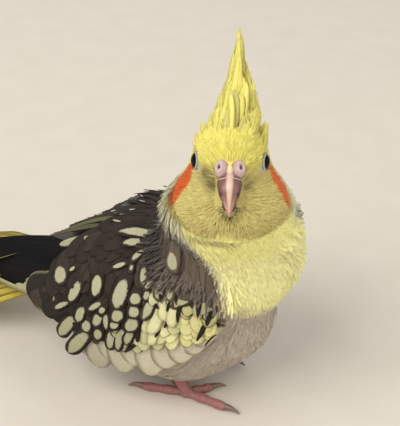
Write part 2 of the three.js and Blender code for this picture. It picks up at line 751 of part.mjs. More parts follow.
function place(name, body, finish) {
  const { vertProperties, triVerts, numProp, numVert } = body.getMesh();
  const positions = new Float32Array(3 * numVert);
  for (let i = 0; i < numVert; i++)
    positions.set(vertProperties.subarray(i * numProp, i * numProp + 3), 3 * i);
  const geometry = new THREE.BufferGeometry();
  geometry.setAttribute("position", new THREE.BufferAttribute(positions, 3));
  geometry.setIndex(new THREE.BufferAttribute(new Uint32Array(triVerts), 1));
  geometry.computeVertexNormals();
  const mesh = new THREE.Mesh(geometry, new THREE.MeshStandardMaterial(FINISH[finish]));
  mesh.name = name;
  figure.add(mesh);
}

function makeWing(side) {
  const vanes = TIERS.flatMap((tier) => wingTier(side, tier));
  const long = steps(PRIMARY.count, 0, PRIMARY.count - 1).map((n) => primary(side, n));
  return largest(joined([wingArm(side), ...vanes, ...long]));
}

place("torso", makeTorso(), "flesh");
place("neck", makeNeck(), "flesh");
place("head", makeHead(), "face");
place("bill_upper", makeUpperBill(), "bill");
place("bill_lower", makeLowerBill(), "bill");
place("cere", makeCere(), "bill");
place("tail", makeTail(), "tail");
for (const [hand, side] of [["right", -1], ["left", 1]]) {
  place("eye_" + hand, makeEye(side), "eye");
  place("wing_" + hand, makeWing(side), "wing");
  place("leg_" + hand, makeLeg(side), "foot");
  for (const toe of TOES) place(toe.name + "_" + hand, makeClaw(toe, side), "claw");
}

// The origin stands under the middle of the figure's box, on the floor
const box = new THREE.Box3().setFromObject(figure);
const middle = box.getCenter(new THREE.Vector3());
figure.position.set(-middle.x, -middle.y, -box.min.z);

export default figure;
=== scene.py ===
# %% [markdown]
# # A pearl cockatiel, life size
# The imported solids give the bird's places and sizes. This script dresses them: one skin under a coat
# of small feathers, wings and tail of separate feathers, a crest, a horn bill and scaly feet.
# All lengths in the working are millimetres of the bird's own frame: +X ahead, +Y its left, +Z up.

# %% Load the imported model
import math
from functools import partial

import bpy
import numpy as np
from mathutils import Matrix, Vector


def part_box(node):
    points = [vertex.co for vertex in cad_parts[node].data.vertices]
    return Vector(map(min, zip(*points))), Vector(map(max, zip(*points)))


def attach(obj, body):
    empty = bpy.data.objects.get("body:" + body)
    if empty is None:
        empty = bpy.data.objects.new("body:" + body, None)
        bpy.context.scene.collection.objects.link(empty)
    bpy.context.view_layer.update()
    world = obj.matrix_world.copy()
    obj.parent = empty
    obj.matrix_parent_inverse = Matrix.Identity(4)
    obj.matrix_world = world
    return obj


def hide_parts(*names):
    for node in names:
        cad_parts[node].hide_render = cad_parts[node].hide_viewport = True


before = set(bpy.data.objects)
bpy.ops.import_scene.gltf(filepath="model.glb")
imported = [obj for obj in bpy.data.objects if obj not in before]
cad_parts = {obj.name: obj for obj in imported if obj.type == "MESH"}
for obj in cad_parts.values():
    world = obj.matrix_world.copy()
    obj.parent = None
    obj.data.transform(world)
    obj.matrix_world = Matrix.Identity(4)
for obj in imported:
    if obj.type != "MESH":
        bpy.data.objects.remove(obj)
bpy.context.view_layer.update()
print("packed nodes:", len(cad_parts))

# %% [markdown]
# A few short helpers serve all steps. They set arrays side by side, give shares in equal steps, and
# draw random numbers that are the same at every run.

# %% Small helpers
MM = 0.001
TURN = 2 * math.pi


def abreast(*parts):
    """Arrays or numbers side by side on a last axis."""
    return np.stack(np.broadcast_arrays(*parts), -1)


def unit(vectors):
    """Each vector divided by its own length."""
    size = np.linalg.norm(vectors, axis=-1, keepdims=True)
    return vectors / np.maximum(size, 1e-9)


def evenly(count):
    """Shares from 0 to 1 in equal steps."""
    return np.linspace(0, 1, count)


def seeded(seed):
    """A source of random numbers that gives the same ones at every run."""
    return np.random.default_rng(seed)


def varied(draw, count, share):
    """1 + share x a normal random number, for each of count feathers."""
    return 1 + share * draw.standard_normal(count)


def from_top(angle):
    """Degrees round the body from its top line, 0 to 180, alike on both sides."""
    return np.degrees(np.abs((angle + math.pi) % TURN - math.pi))


print("one turn is", round(TURN, 3), "radians, and one millimetre", MM, "metres")

# %% [markdown]
# The head is turned to the bird's right and tilted up. A small set of directions, forward, left and
# up of the head, lets every part of the face be given by three lengths from the head's centre.

# %% The head's own directions
HEAD_CENTRE = np.array([19.0, -10.5, 105.0])
HEAD_YAW = -65.5
HEAD_PITCH = 28.0
BILL_SEAT = 13.0
EYE = {"forward": 5.0, "side": 9.2, "up": 5.8, "radius": 3.4}


def axes(yaw, pitch):
    """Forward, left and up of something turned by yaw and pitched up, in degrees, as three rows."""
    y, p = np.radians(yaw), np.radians(pitch)
    forward = abreast(np.cos(y) * np.cos(p), np.sin(y) * np.cos(p), np.sin(p))
    left = abreast(-np.sin(y), np.cos(y), np.zeros_like(y))
    return np.stack([forward, left, np.cross(forward, left)], -2)


HEAD = axes(HEAD_YAW, HEAD_PITCH)
# the sign and the name of each side
HANDS = ((-1, "right"), (1, "left"))


def on_head(forward, left, up):
    """Head centre + forward x its forward + left x its left + up x its up, for arrays of lengths."""
    parts = abreast(forward, left, up).astype(float)
    return HEAD_CENTRE + parts @ HEAD


def head_place(points):
    """The three lengths forward, left and up of points, the reverse of on_head."""
    return (points - HEAD_CENTRE) @ HEAD.T


eye_low, eye_high = (np.array(corner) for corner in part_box("eye_left"))
OFFSET = (eye_low + eye_high) / 2 / MM - on_head(EYE["forward"], EYE["side"], EYE["up"])
print("the bird's frame stands", OFFSET.round(2), "mm from the packed one")

# %% [markdown]
# ## The body under the feathers
# A bird's body is a few rounded masses that run into one another. Each mass is an egg shape, and
# the distance to them all is melted together, which fills the valleys between them. The same eggs
# made the solids, so the dressed bird keeps their outline.

# %% Egg shapes and the distance to them
BLEND = 8.0
# centre, half sizes forward, left and up, pitch in degrees
BODY_EGGS = [
    ([-14, 0, 48], [42, 25, 25], 22),
    ([15, -1, 66], [24, 24, 24], 50),
    ([-3, 0, 33], [35, 23.5, 23], 14),
    ([-4, -9.5, 22], [17, 10.5, 14], 10),
    ([-4, 9.5, 22], [17, 10.5, 14], 10),
    ([-48, 0, 40], [24, 14, 12], 12),
    ([17, -5, 86], [21, 21, 20], 0),
]
# in the head's own directions
HEAD_EGGS = [
    ([-2, 0, 3], [17, 11.5, 14]),
    ([-4, 0, -9], [15, 19, 13]),
    ([2, 0, -12], [12, 14, 9]),
    ([0, 0, 9], [13, 9.5, 8]),
]
WING_EGGS = [([-22, -8, 34], [46, 17.5, 31], 14), ([-25, 7.5, 29], [46, 17.5, 26], 12)]

body_eggs = [(np.array(at, float), np.array(half, float), axes(0, pitch)) for at, half, pitch in BODY_EGGS]
body_eggs += [(on_head(*at), np.array(half, float), HEAD) for at, half in HEAD_EGGS]
wing_eggs = body_eggs + [
    (np.array(at, float), np.array(half, float), axes(0, pitch)) for at, half, pitch in WING_EGGS
]


def egg_distance(points, egg):
    """Scaled radius x (scaled radius - 1) / slope: about the distance to an egg, below zero inside."""
    at, half, turned = egg
    along = (points - at) @ turned.T
    scaled = np.linalg.norm(along / half, axis=-1)
    slope = np.linalg.norm(along / half**2, axis=-1)
    return scaled * (scaled - 1) / np.maximum(slope, 1e-9)


def distance(points, eggs):
    """The least egg distance, lowered by a quarter of BLEND x nearness squared where two are alike."""
    least = egg_distance(points, eggs[0])
    for egg in eggs[1:]:
        other = egg_distance(points, egg)
        near = np.maximum(BLEND - np.abs(least - other), 0) / BLEND
        least = np.minimum(least, other) - near * near * BLEND / 4
    return least


# %% [markdown]
# Feathers lie in rows that run from the bill to the tail, so the body is measured as a tube: a place
# along it and an angle round it from the top line. Rings stand on a smooth line through nine
# stations. Each ring point is found by going out from the line until the distance is zero. The
# results go into a table, and feathers read it.

# %% Stations of the tube and its table
# middle of each ring, and the pitch and yaw of its axes
STATIONS = np.array([
    [-66, 0, 37, 12, 0],
    [-48, 0, 40, 14, 0],
    [-26, 0, 44, 18, 0],
    [-6, 0, 48, 28, 0],
    [8, 0, 57, 46, 0],
    [15, -1, 69, 64, -6],
    [18, -4, 82, 76, -24],
    [18.5, -7.5, 94, 76, -46],
    [17.3, -7.1, 104.1, 66, HEAD_YAW],
])
LAST = len(STATIONS) - 1
POLE = unit(on_head(BILL_SEAT + 2, 0, -3) - STATIONS[LAST, :3])


def through(rows, share):
    """A Catmull-Rom curve through evenly spaced rows, straight on beyond both ends."""
    last = len(rows) - 1
    padded = np.concatenate([2 * rows[:1] - rows[1:2], rows, 2 * rows[-1:] - rows[-2:-1]])
    inside = np.clip(share, 0, 1)
    i = np.minimum((inside * last).astype(int), last - 1)
    k = (inside * last - i).reshape(i.shape + (1,) * (rows.ndim - 1))
    a, b, c, d = (padded[i + n] for n in range(4))
    value = b + 0.5 * k * (c - a + k * (2 * a - 5 * b + 4 * c - d + k * (3 * (b - c) + d - a)))
    beyond = (share - inside).reshape(k.shape)
    return value + beyond * last * np.where(beyond < 0, rows[1] - rows[0], rows[-1] - rows[-2])


def station(place):
    """Centre, and axes of the ring, on the smooth line through the stations."""
    value = through(STATIONS, np.clip(place / LAST, 0, 1))
    return value[..., :3], axes(value[..., 4], value[..., 3])


FARTHEST, STRIDE, HALVINGS = 90.0, 4.0, 12


def tube_table(eggs, last_place, rows, columns):
    """Points, outward normals and spans per unit of place and angle, on a grid of places and angles."""
    places = np.linspace(0, last_place, rows)[:, None]
    angles = np.arange(columns)[None] * TURN / columns
    places, angles = np.broadcast_arrays(places, angles)
    centre, turned = station(places)
    flat = turned[..., 2, :] * np.cos(angles)[..., None] + turned[..., 1, :] * np.sin(angles)[..., None]
    closing = (math.pi / 2) * np.clip(LAST + 1 - places, 0, 1)[..., None]
    way = unit(flat * np.sin(closing) + POLE * np.cos(closing))
    near, far = np.zeros(places.shape), np.full(places.shape, FARTHEST)
    found = np.zeros(places.shape, bool)
    for reach in np.arange(STRIDE / 2, FARTHEST, STRIDE):
        outside = (distance(centre + way * reach, eggs) > 0) & ~found
        far[outside] = reach
        near[outside] = reach - STRIDE
        found |= outside
        if found.all():
            break
    for _ in range(HALVINGS):
        middle = (near + far) / 2
        outside = distance(centre + way * middle[..., None], eggs) > 0
        far, near = np.where(outside, middle, far), np.where(outside, near, middle)
    points = centre + way * ((near + far) / 2)[..., None]
    by_place = np.gradient(points, last_place / (rows - 1), axis=0)
    by_angle = (np.roll(points, -1, 1) - np.roll(points, 1, 1)) * columns / (2 * TURN)
    normals = unit(np.cross(by_place, by_angle))
    normals *= np.sign((normals * way).sum(-1, keepdims=True))
    spans = abreast(np.linalg.norm(by_place, axis=-1), np.linalg.norm(by_angle, axis=-1))
    return {"step": last_place / (rows - 1), "data": np.concatenate([points, normals, spans], -1)}


body_table = tube_table(body_eggs, last_place=LAST + 0.98, rows=330, columns=240)
wing_table = tube_table(wing_eggs, last_place=6.2, rows=200, columns=240)
print("body table", body_table["data"].shape, "wing table", wing_table["data"].shape)


def mixed(table, i, j, n, a, b):
    """Entries of rows i and i + 1 and columns j and n, mixed by the shares a down and b across."""
    near, far = (table[row, j] * (1 - b) + table[row, n] * b for row in (i, i + 1))
    return near * (1 - a) + far * a


def look(table, place, angle):
    """Points, normals and spans at places and angles, mixed between the four nearest table rows."""
    data = table["data"]
    rows, columns = data.shape[:2]
    x = np.clip(np.asarray(place) / table["step"], 0, rows - 1.001)
    y = np.mod(np.asarray(angle) / TURN * columns, columns)
    x, y = np.broadcast_arrays(x, y)
    i, j = x.astype(int), y.astype(int) % columns
    a, b = (x - i)[..., None], (y - y.astype(int))[..., None]
    value = mixed(data, i, j, (j + 1) % columns, a, b)
    return value[..., :3], unit(value[..., 3:6]), value[..., 6:]


# %% [markdown]
# ## One way to make every piece
# A feather, a toe, a claw and a bill are all rings of points carried along a path. One helper joins
# the rings of many such pieces into one closed mesh. It also stores what materials read: colours,
# and maps that run across and along each feather.

# %% Rings to meshes
def ring_faces(count, rings, sides, loop=False):
    """Corner numbers of the side faces of many tubes, four each, and of their two end faces.
    A loop joins its last ring to its first and has no ends."""
    j = np.arange(sides)
    k = np.arange(rings if loop else rings - 1)[:, None]
    near, far = k * sides, (k + 1) % rings * sides
    one = abreast(near + j, near + (j + 1) % sides, far + (j + 1) % sides, far + j)
    start = (np.arange(count) * rings * sides)[:, None, None]
    around = (one.reshape(1, -1, 4) + start).reshape(-1, 4)
    ends = np.stack([j[::-1], j + (rings - 1) * sides])
    return [around] if loop else [around, (ends[None] + start).reshape(-1, sides)]


def add_tubes(name, points, material, replaced=(), colours=None, maps=None, floats=None,
              smooth=True, loop=False):
    """A mesh object from points shaped tube, ring, side, xyz, in millimetres of the bird's frame. Colours
    are one array, or several by name, and are spread over all points."""
    face_sets = ring_faces(*points.shape[:3], loop)
    shape, points = points.shape, points.reshape(-1, 3)
    colours = colours if isinstance(colours, dict) else {"Plumage": colours}
    mesh = bpy.data.meshes.new(name)
    corners = np.concatenate([faces.ravel() for faces in face_sets]).astype(np.int32)
    totals = np.concatenate([np.full(len(faces), faces.shape[1]) for faces in face_sets])
    starts = np.concatenate([[0], np.cumsum(totals)[:-1]]).astype(np.int32)
    mesh.vertices.add(len(points))
    mesh.vertices.foreach_set("co", ((points + OFFSET) * MM).astype(np.float32).ravel())
    mesh.loops.add(len(corners))
    mesh.loops.foreach_set("vertex_index", corners)
    mesh.polygons.add(len(totals))
    mesh.polygons.foreach_set("loop_start", starts)
    mesh.polygons.foreach_set("use_smooth", np.full(len(totals), smooth))
    mesh.update(calc_edges=True)
    for key, values in colours.items():
        full = np.ones((len(points), 4), np.float32)
        full[:, :3] = np.broadcast_to(values, shape).reshape(-1, 3)
        mesh.color_attributes.new(key, "FLOAT_COLOR", "POINT").data.foreach_set("color", full.ravel())
    for key, values in (floats or {}).items():
        layer = mesh.attributes.new(key, "FLOAT_VECTOR", "POINT")
        vectors = np.broadcast_to(values, shape).reshape(-1, 3)
        layer.data.foreach_set("vector", vectors.astype(np.float32).ravel())
    for key, values in (maps or {}).items():
        layer = mesh.uv_layers.new(name=key)
        layer.data.foreach_set("uv", values.reshape(-1, 2)[corners].astype(np.float32).ravel())
    mesh.materials.append(material)
    piece = bpy.data.objects.new(name, mesh)
    bpy.context.scene.collection.objects.link(piece)
    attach(piece, "root")
    if replaced:
        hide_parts(*replaced)
    triangles = int((totals - 2).sum())
    print(f"{name}: {triangles} triangles")


def tube_rings(path, radii, sides):
    """Rings square to a path: centre + radius x (side x cosine + up x sine of the angle round it)."""
    path = np.asarray(path, float)
    ahead = unit(np.gradient(path, axis=0))
    aside = unit(np.cross([0.0, 0.0, 1.0], ahead) + np.array([1e-6, 0, 0]))
    up = np.cross(ahead, aside)
    angle = np.arange(sides) * TURN / sides
    radii = np.broadcast_to(radii, (len(path), sides)) if np.ndim(radii) > 1 else np.asarray(radii)[:, None]
    wide = aside[:, None] * np.cos(angle)[None, :, None]
    high = up[:, None] * np.sin(angle)[None, :, None]
    return path[:, None] + (wide + high) * radii[..., None]


def ribs(path, aside, up, half, sides, bow):
    """Points across feathers: path + aside x half width x side + up x bow x half width x (1 - side^2)."""
    points = path[:, :, None] + aside[:, :, None] * (half[..., None] * sides)[..., None]
    return points + up[:, :, None] * (bow * half[..., None] * (1 - sides * sides))[..., None]


def vane_map(across, along, count):
    """Each point's share across and share along, alike for each of count feathers."""
    return abreast(across[None, None] + np.zeros((count, 1, 1)), along[None, :, None])


def no_vane(points):
    """The middle of a feather's map, for points that lie on no feather."""
    return np.broadcast_to([0.5, 0.5], points.shape[:3] + (2,))


def patches(at, vane, size):
    """Places of a small patch for each feather: its root's place + (vane map - a half) x size."""
    return at[:, None, None] + (vane - 0.5) * np.array(size)


def per_feather(values, count):
    """One value of three numbers for each feather, or one for all, shaped to be spread over points."""
    return np.broadcast_to(values, (count, 3))[:, None, None]


# %% [markdown]
# ## Colours and finishes
# The colours are the plumage's own: lemon, olive yellow, orange, taupe and a brown so dark that it
# is nearly black, and a brighter bib yellow that is painted light. They are written as screen colours
# and turned into the light values that a shader works in.

# %% Named colours
def tint(code):
    """Screen colour to light value: each channel / 12.92 when dark, else ((c + 0.055) / 1.055) ^ 2.4."""
    channel = np.array([int(code[i:i + 2], 16) for i in (0, 2, 4)]) / 255
    return np.where(channel < 0.04045, channel / 12.92, ((channel + 0.055) / 1.055) ** 2.4)


LEMON = tint("E6DB6E")
CREST_LEMON = tint("E8DE78")
BIB = tint("F3EDA6")
# painted light: a brighter yellow that offsets the shadow under the chin
BIB_PAINTED_LIGHT = tint("FFF79C")
OLIVE = tint("CDBE72")
OLIVE_DEEP = tint("A39353")
ORANGE = tint("C8560C")
ORANGE_LIGHT = tint("DC6E34")
NAPE = tint("D9D4B2")
TAUPE = tint("B8AB9B")
TAUPE_DEEP = tint("8B7F74")
BACK = tint("443A33")
SLATE = tint("2E2824")
PEARL = tint("ADA987")
PATCH = tint("E0DCA8")
PEARL_GREEN = tint("979668")
TIP_CREAM = tint("CCC5AB")
SHOULDER = tint("64584D")
INK = tint("060709")
TAIL_YELLOW = tint("C4B152")
TAIL_GREY = tint("6D6A4C")
STREAK = tint("8F8A66")
WHITE_DOWN = tint("E6E2D6")
LID_GREY = tint("B5B1A6")


def blend(a, b, share):
    """a + (b - a) x share, for colours and an array of shares."""
    return a + (b - a) * np.asarray(share)[..., None]


def ease(value, low, high):
    """0 below low, 1 above high, and 3x^2 - 2x^3 between them."""
    x = np.clip((value - low) / (high - low), 0, 1)
    return x * x * (3 - 2 * x)


# %% [markdown]
# Skin and coat have to carry the same markings, or the skin would flash between the feathers. So one
# formula gives the colour at a place on the body. It works from borders that lie on the bird: the
# bib's edge, the edge of the face, the ear patch.

# %% Where each colour lies on the body
EAR = {"forward": 2.0, "up": -2.0, "slant": -2.0, "long": 6.9, "wide": 4.7, "left_wide": 3.5,
       "left_back": 1.0}
# painted shade in the hollows beside the bill: middle, reach, and how dark it is on the right and on the left
LORE_SHADES = (
    {"at": (12.4, 7.9, 1.7), "reach": (2.4, 2.2, 2.6), "right": 0.85, "left": 0.15},
    {"at": (13.4, 6.0, -1.2), "reach": (2.0, 1.7, 1.6), "right": 0.95, "left": 0.75},
)
UNDER_EYE = {"at": (9.2, 10.6, 3.5), "reach": (2.6, 2.2, 1.6)}


def spot(forward, left, up, place):
    """1 at the middle of an egg-shaped spot, mirrored on both sides of the head, falling to 0 round it."""
    (f, l, u), (a, b, c) = place["at"], place["reach"]
    away = ((forward - f) / a) ** 2 + ((np.abs(left) - l) / b) ** 2 + ((up - u) / c) ** 2
    return np.exp(-away)


def face_border(around):
    """The place of the face's lower edge: far back under the ear, and nearer the bill under the chin."""
    return 7.26 + 0.88 * np.clip((around - 106) / 70, 0, 1)


def plumage(place, angle, points):
    """The coat's colour: back, belly, shoulder, bib, nape, face, crown and ear patch laid over in turn,
    with painted shade under the wing, low on the face and beside the bill, and painted light on the bib.
    """
    forward, left, up = np.moveaxis(head_place(points), -1, 0)
    place, angle = np.broadcast_arrays(place, angle)
    around = from_top(angle)
    colour = blend(BACK, TAUPE, ease(around, 62, 96))
    # painted shade: the lower rear flank, under the wing, darkens to dark taupe
    colour = blend(colour, TAUPE_DEEP, 0.45 * ease(2.6 - place, 0, 1.2) * ease(around, 80, 120))
    colour = blend(colour, BIB * 0.8, 0.7 * ease(1.2 - place, 0, 0.9) * ease(around, 135, 165))
    shoulder = ease(place, 3.9, 4.8) * (1 - ease(around, 112, 128)) * ease(around, 50, 75)
    colour = blend(colour, SHOULDER, shoulder)
    bib = ease(place, 4.6, 5.2) * ease(around, 114, 127)
    colour = blend(colour, BIB, bib)
    # painted light: the upper bib under the chin is brightened against the chin's shadow
    colour = blend(colour, BIB_PAINTED_LIGHT, 0.8 * bib * ease(place, 6.2, 6.9))
    further = 34 * (np.sin(angle) > 0)
    nape_edge = 5.5 + (1.25 - further / 136) * ease(around, 38 + further, 76 + further)
    nape = ease(place, nape_edge - 0.2, nape_edge + 0.25)
    colour = blend(colour, NAPE, nape * (1 - bib))
    face_edge = face_border(around)
    face = ease(place, face_edge - 0.16, face_edge + 0.1) * ease(forward, -5.0, -1.5)
    # painted shade: the face darkens to dark olive low under the head and on its sides towards the back
    face_shade = 0.3 * ease(-up, 10, 19) + 0.3 * ease(np.abs(left), 6, 13) * ease(-forward, -9, 2)
    colour = blend(colour, blend(OLIVE, OLIVE_DEEP, face_shade), face)
    crown = ease(up, 0.5, 6.5) * ease(place, 7.2, 7.8)
    colour = blend(colour, LEMON, crown)
    # painted shade beside the bill and below the eye, darker on the bird's right side
    for mark in LORE_SHADES:
        lore_shade = spot(forward, left, up, mark) * np.where(left < 0, mark["right"], mark["left"])
        colour = blend(colour, OLIVE_DEEP * 0.32, lore_shade)
    colour = blend(colour, LID_GREY, 0.8 * spot(forward, left, up, UNDER_EYE))
    slant = math.radians(EAR["slant"])
    f, u = forward - EAR["forward"] + EAR["left_back"] * (left > 0), up - EAR["up"]
    along = f * math.sin(slant) + u * math.cos(slant)
    across = f * math.cos(slant) - u * math.sin(slant)
    ear = np.hypot(along / EAR["long"], across / np.where(left > 0, EAR["left_wide"], EAR["wide"]))
    patch = ease(-ear, -1.1, -0.85) * ease(np.abs(left), 8, 11)
    return blend(colour, blend(ORANGE, ORANGE_LIGHT, ease(left, 0, 4)), patch)


# %% [markdown]
# A feather's finish is made of barbs: fine side branches that slant from the shaft to the edge. They
# give a soft, ribbed surface. The material reads a map that runs across and along each feather, and
# draws slanted ripples in colour and bump. Pearl feathers also carry a pale oval. Its size and place
# come with each feather, so one material serves the whole wing.

# %% Feather materials
def node(tree, kind, inputs=None, **settings):
    """A shader node with its settings and fixed inputs."""
    made = tree.nodes.new("ShaderNode" + kind)
    for key, value in settings.items():
        setattr(made, key, value)
    for key, value in (inputs or {}).items():
        if isinstance(value, bpy.types.NodeSocket):
            tree.links.new(value, made.inputs[key])
        else:
            made.inputs[key].default_value = value
    return made


def maths(tree, operation, a, b=None, c=None):
    """One step of arithmetic on sockets or numbers."""
    inputs = {i: v for i, v in enumerate((a, b, c)) if v is not None}
    return node(tree, "Math", inputs, operation=operation).outputs[0]


def new_material(name, roughness, sheen=0.0):
    """A material with an empty tree but for its principled shader."""
    material = bpy.data.materials.new(name)
    material.use_nodes = True
    shader = material.node_tree.nodes["Principled BSDF"]
    shader.inputs["Roughness"].default_value = roughness
    shader.inputs["Sheen Weight"].default_value = sheen
    shader.inputs["Sheen Roughness"].default_value = 0.5
    return material, material.node_tree, shader


def barb_ripple(tree, count, slant):
    """Sine of (count x (share along + slant x distance from the shaft)): -1 to 1."""
    uv = node(tree, "UVMap", uv_map="Vane").outputs[0]
    split = node(tree, "SeparateXYZ", {0: uv})
    across, along = split.outputs[0], split.outputs[1]
    off_shaft = maths(tree, "ABSOLUTE", maths(tree, "SUBTRACT", across, 0.5))
    phase = maths(tree, "MULTIPLY_ADD", off_shaft, -slant, along)
    return maths(tree, "SINE", maths(tree, "MULTIPLY", phase, count)), along, off_shaft


def mix_colour(tree, kind, share, a, b):
    """Two colours mixed or multiplied by a share."""
    made = node(tree, "Mix", {0: share, 6: a, 7: b}, data_type="RGBA", blend_type=kind)
    return made.outputs[2]


def attribute(tree, name, output="Color"):
    """What the mesh keeps under a name."""
    return node(tree, "Attribute", attribute_name=name).outputs[output]


def speckle(tree, scale, detail):
    """A noise fixed to the bird, with scale spots to a metre."""
    where = node(tree, "TexCoord").outputs["Object"]
    return node(tree, "TexNoise", {"Vector": where, "Scale": scale, "Detail": detail}).outputs[0]


def finish_surface(tree, shader, colour, shade, height, strength, depth):
    """Base colour = colour x shade, and a bump that follows height."""
    grey = node(tree, "CombineColor", {0: shade, 1: shade, 2: shade}).outputs[0]
    tree.links.new(mix_colour(tree, "MULTIPLY", 1.0, colour, grey), shader.inputs["Base Color"])
    bump = node(tree, "Bump", {"Height": height, "Strength": strength, "Distance": depth})
    tree.links.new(bump.outputs[0], shader.inputs["Normal"])


def down_material():
    """Soft body feathers: their own colour, ribbed by barbs and mottled by a fine noise."""
    material, tree, shader = new_material("soft_down", roughness=0.85, sheen=0.16)
    ripple = barb_ripple(tree, count=46.0, slant=0.9)[0]
    mottle = speckle(tree, scale=420.0, detail=3.0)
    shade = maths(tree, "MULTIPLY_ADD", ripple, 0.05, maths(tree, "MULTIPLY_ADD", mottle, 0.5, 0.78))
    finish_surface(tree, shader, attribute(tree, "Plumage"), shade, ripple, strength=0.35, depth=0.0002)
    return material


def ramp(tree, value, low, high, top=1.0, **settings):
    """0 where the value is at low, top where it is at high."""
    return node(tree, "MapRange", {0: value, 1: low, 2: high, 3: 0.0, 4: top}, **settings).outputs[0]


def vane_material():
    """Firm feathers: ground colour, an oval mark, pale or dark rims, a shaft line and slanted barbs."""
    material, tree, shader = new_material("firm_vane", roughness=0.75)
    shader.inputs["Specular IOR Level"].default_value = 0.12
    do, mix = partial(maths, tree), partial(mix_colour, tree)
    soft, least = {"interpolation_type": "SMOOTHSTEP"}, 0.001
    ground, pearl = attribute(tree, "Plumage"), attribute(tree, "Pearl")
    mark = node(tree, "SeparateXYZ", {0: attribute(tree, "Mark", "Vector")}).outputs
    rim = node(tree, "SeparateXYZ", {0: attribute(tree, "Rim", "Vector")}).outputs
    ripple, along, off_shaft = barb_ripple(tree, count=rim[2], slant=0.55)
    rough = speckle(tree, scale=900.0, detail=2.0)
    wobble = do("MULTIPLY_ADD", rough, 0.5, -0.25)
    from_middle = do("SUBTRACT", along, mark[2])
    squares = []
    for way, reach in ((off_shaft, mark[0]), (from_middle, mark[1])):
        part = do("DIVIDE", way, do("MAXIMUM", reach, least))
        squares.append(do("POWER", do("ABSOLUTE", part), 2.0))
    oval = do("ADD", do("SQRT", do("ADD", *squares)), wobble)
    inside = ramp(tree, oval, 1.12, 0.86, **soft)
    colour = mix("MIX", inside, ground, pearl)
    side = do("ADD", off_shaft, do("MULTIPLY", wobble, 0.12))
    edge = ramp(tree, side, rim[0], 0.5, **soft)
    colour = mix("MIX", do("MULTIPLY", edge, rim[1]), colour, pearl)
    shaft = ramp(tree, off_shaft, 0.03, 0.012, top=0.4)
    shaft = do("MULTIPLY", shaft, do("MULTIPLY_ADD", inside, -0.88, 1.0))
    colour = mix("MIX", shaft, colour, (*(SLATE * 0.7), 1.0))
    shade = do("MULTIPLY_ADD", ripple, 0.07, do("MULTIPLY_ADD", rough, 0.3, 0.86))
    finish_surface(tree, shader, colour, shade, ripple, strength=0.4, depth=0.00015)
    return material


DOWN = down_material()
VANE = vane_material()

# %% [markdown]
# ## Skin
# One skin covers torso, neck and head, so no seam shows where the solids part. It lies a little
# inside them, by the depth of the coat, and small feathers fill the rest.

# %% The skin
COAT_DEPTH = 1.5


def make_skin():
    """Table points drawn in by the coat's depth, less on the face, closed at the tail and the bill."""
    places = np.linspace(0, LAST + 0.97, 250)[:, None]
    angles = np.arange(200)[None] * TURN / 200
    points, normals, _ = look(body_table, places, angles)
    depth = COAT_DEPTH * (1 - 0.45 * ease(places, 7.2, 8.2))
    colours = plumage(places, angles, points)
    maps = abreast(angles / TURN, places / (LAST + 1))
    shape = (points - normals * depth[..., None])[None]
    add_tubes("skin", shape, DOWN, ("torso", "neck", "head"), colours,
              {"OFBake": maps, "Vane": maps * 8})


make_skin()

# %% [markdown]
# ## The coat
# Small feathers are rooted all over the skin and lie towards the tail. Each is a narrow blade with
# a raised middle, three points round, so that thousands of them stay light. Roots are spread by
# area, with more of them where feathers are small, on the face.

# %% Feathers laid on the body
def root_spots(count, first, last, weight, seed):
    """Places and angles of roots, evenly by area x weight, with a small seeded shift."""
    draw = seeded(seed)
    data = body_table["data"]
    step = body_table["step"]
    rows = slice(int(first / step), int(last / step) + 1)
    spans = data[rows, :, 6] * data[rows, :, 7]
    places = (np.arange(data.shape[0])[rows] * step)[:, None] * np.ones((1, data.shape[1]))
    angles = np.ones((spans.shape[0], 1)) * (np.arange(data.shape[1]) * TURN / data.shape[1])[None]
    share = np.cumsum((spans * weight(places, angles)).ravel())
    picks = np.searchsorted(share, (np.arange(count) + draw.random(count)) / count * share[-1])
    picks = np.minimum(picks, share.size - 1)
    place = places.ravel()[picks] + step * (draw.random(count) - 0.5)
    angle = angles.ravel()[picks] + TURN / data.shape[1] * (draw.random(count) - 0.5)
    return place, angle, draw


BLADE_SIDES = np.array([-1.0, 0.0, 1.0])
PATCH_SIZE = 0.003
SPREAD = 2.0


def some(draw, count, share):
    """1 + share x a seeded normal number for each feather, which stays within twice the share."""
    return 1 + share * draw.standard_normal(count).clip(-SPREAD, SPREAD)


def blade(share, tip, middle=0.35):
    """Half width along a small feather: rises to full at the middle, then falls to the tip's share."""
    rise = 0.55 + 0.45 * np.sin(np.clip(share / middle, 0, 1) * math.pi / 2)
    fall = np.sqrt(np.clip(1 - ((share - middle) / (1 - middle)) ** 2, 0, 1))
    return rise * np.where(share > middle, np.maximum(fall, tip), 1)


def lay_feathers(place, angle, draw, length, width, rise, swing, stations=4, sink=1.1, tip=0.16,
                 table=None, lean=0.0):
    """Blades that run from their roots towards the tail, following the body, lifted towards the tip.
    Also gives the place and angle near the tip, where a feather shows."""
    table = body_table if table is None else table
    share = evenly(stations)[None]
    turn = np.radians(swing * draw.standard_normal(len(place)) + lean * np.sign(np.sin(angle)))[:, None]
    _, _, spans = look(table, place, angle)
    reach = length[:, None] * share
    t = place[:, None] - reach * np.cos(turn) / np.maximum(spans[:, :1], 1e-3)
    a = angle[:, None] + reach * np.sin(turn) / np.maximum(spans[:, 1:], 4.0)
    points, normals, _ = look(table, t, a)
    height = -sink + (sink + rise[:, None]) * share**1.3
    path = points + normals * height[..., None]
    ahead = unit(np.gradient(path, axis=1))
    wide = unit(np.cross(normals, ahead))
    roll = np.radians(9 * draw.standard_normal(len(place)))[:, None, None]
    wide = unit(wide * np.cos(roll) + normals * np.sin(roll))
    half = width[:, None] / 2 * blade(share, tip)
    return ribs(path, wide, normals, half, BLADE_SIDES, bow=0.22), t[:, -2], a[:, -2], points[:, -2]


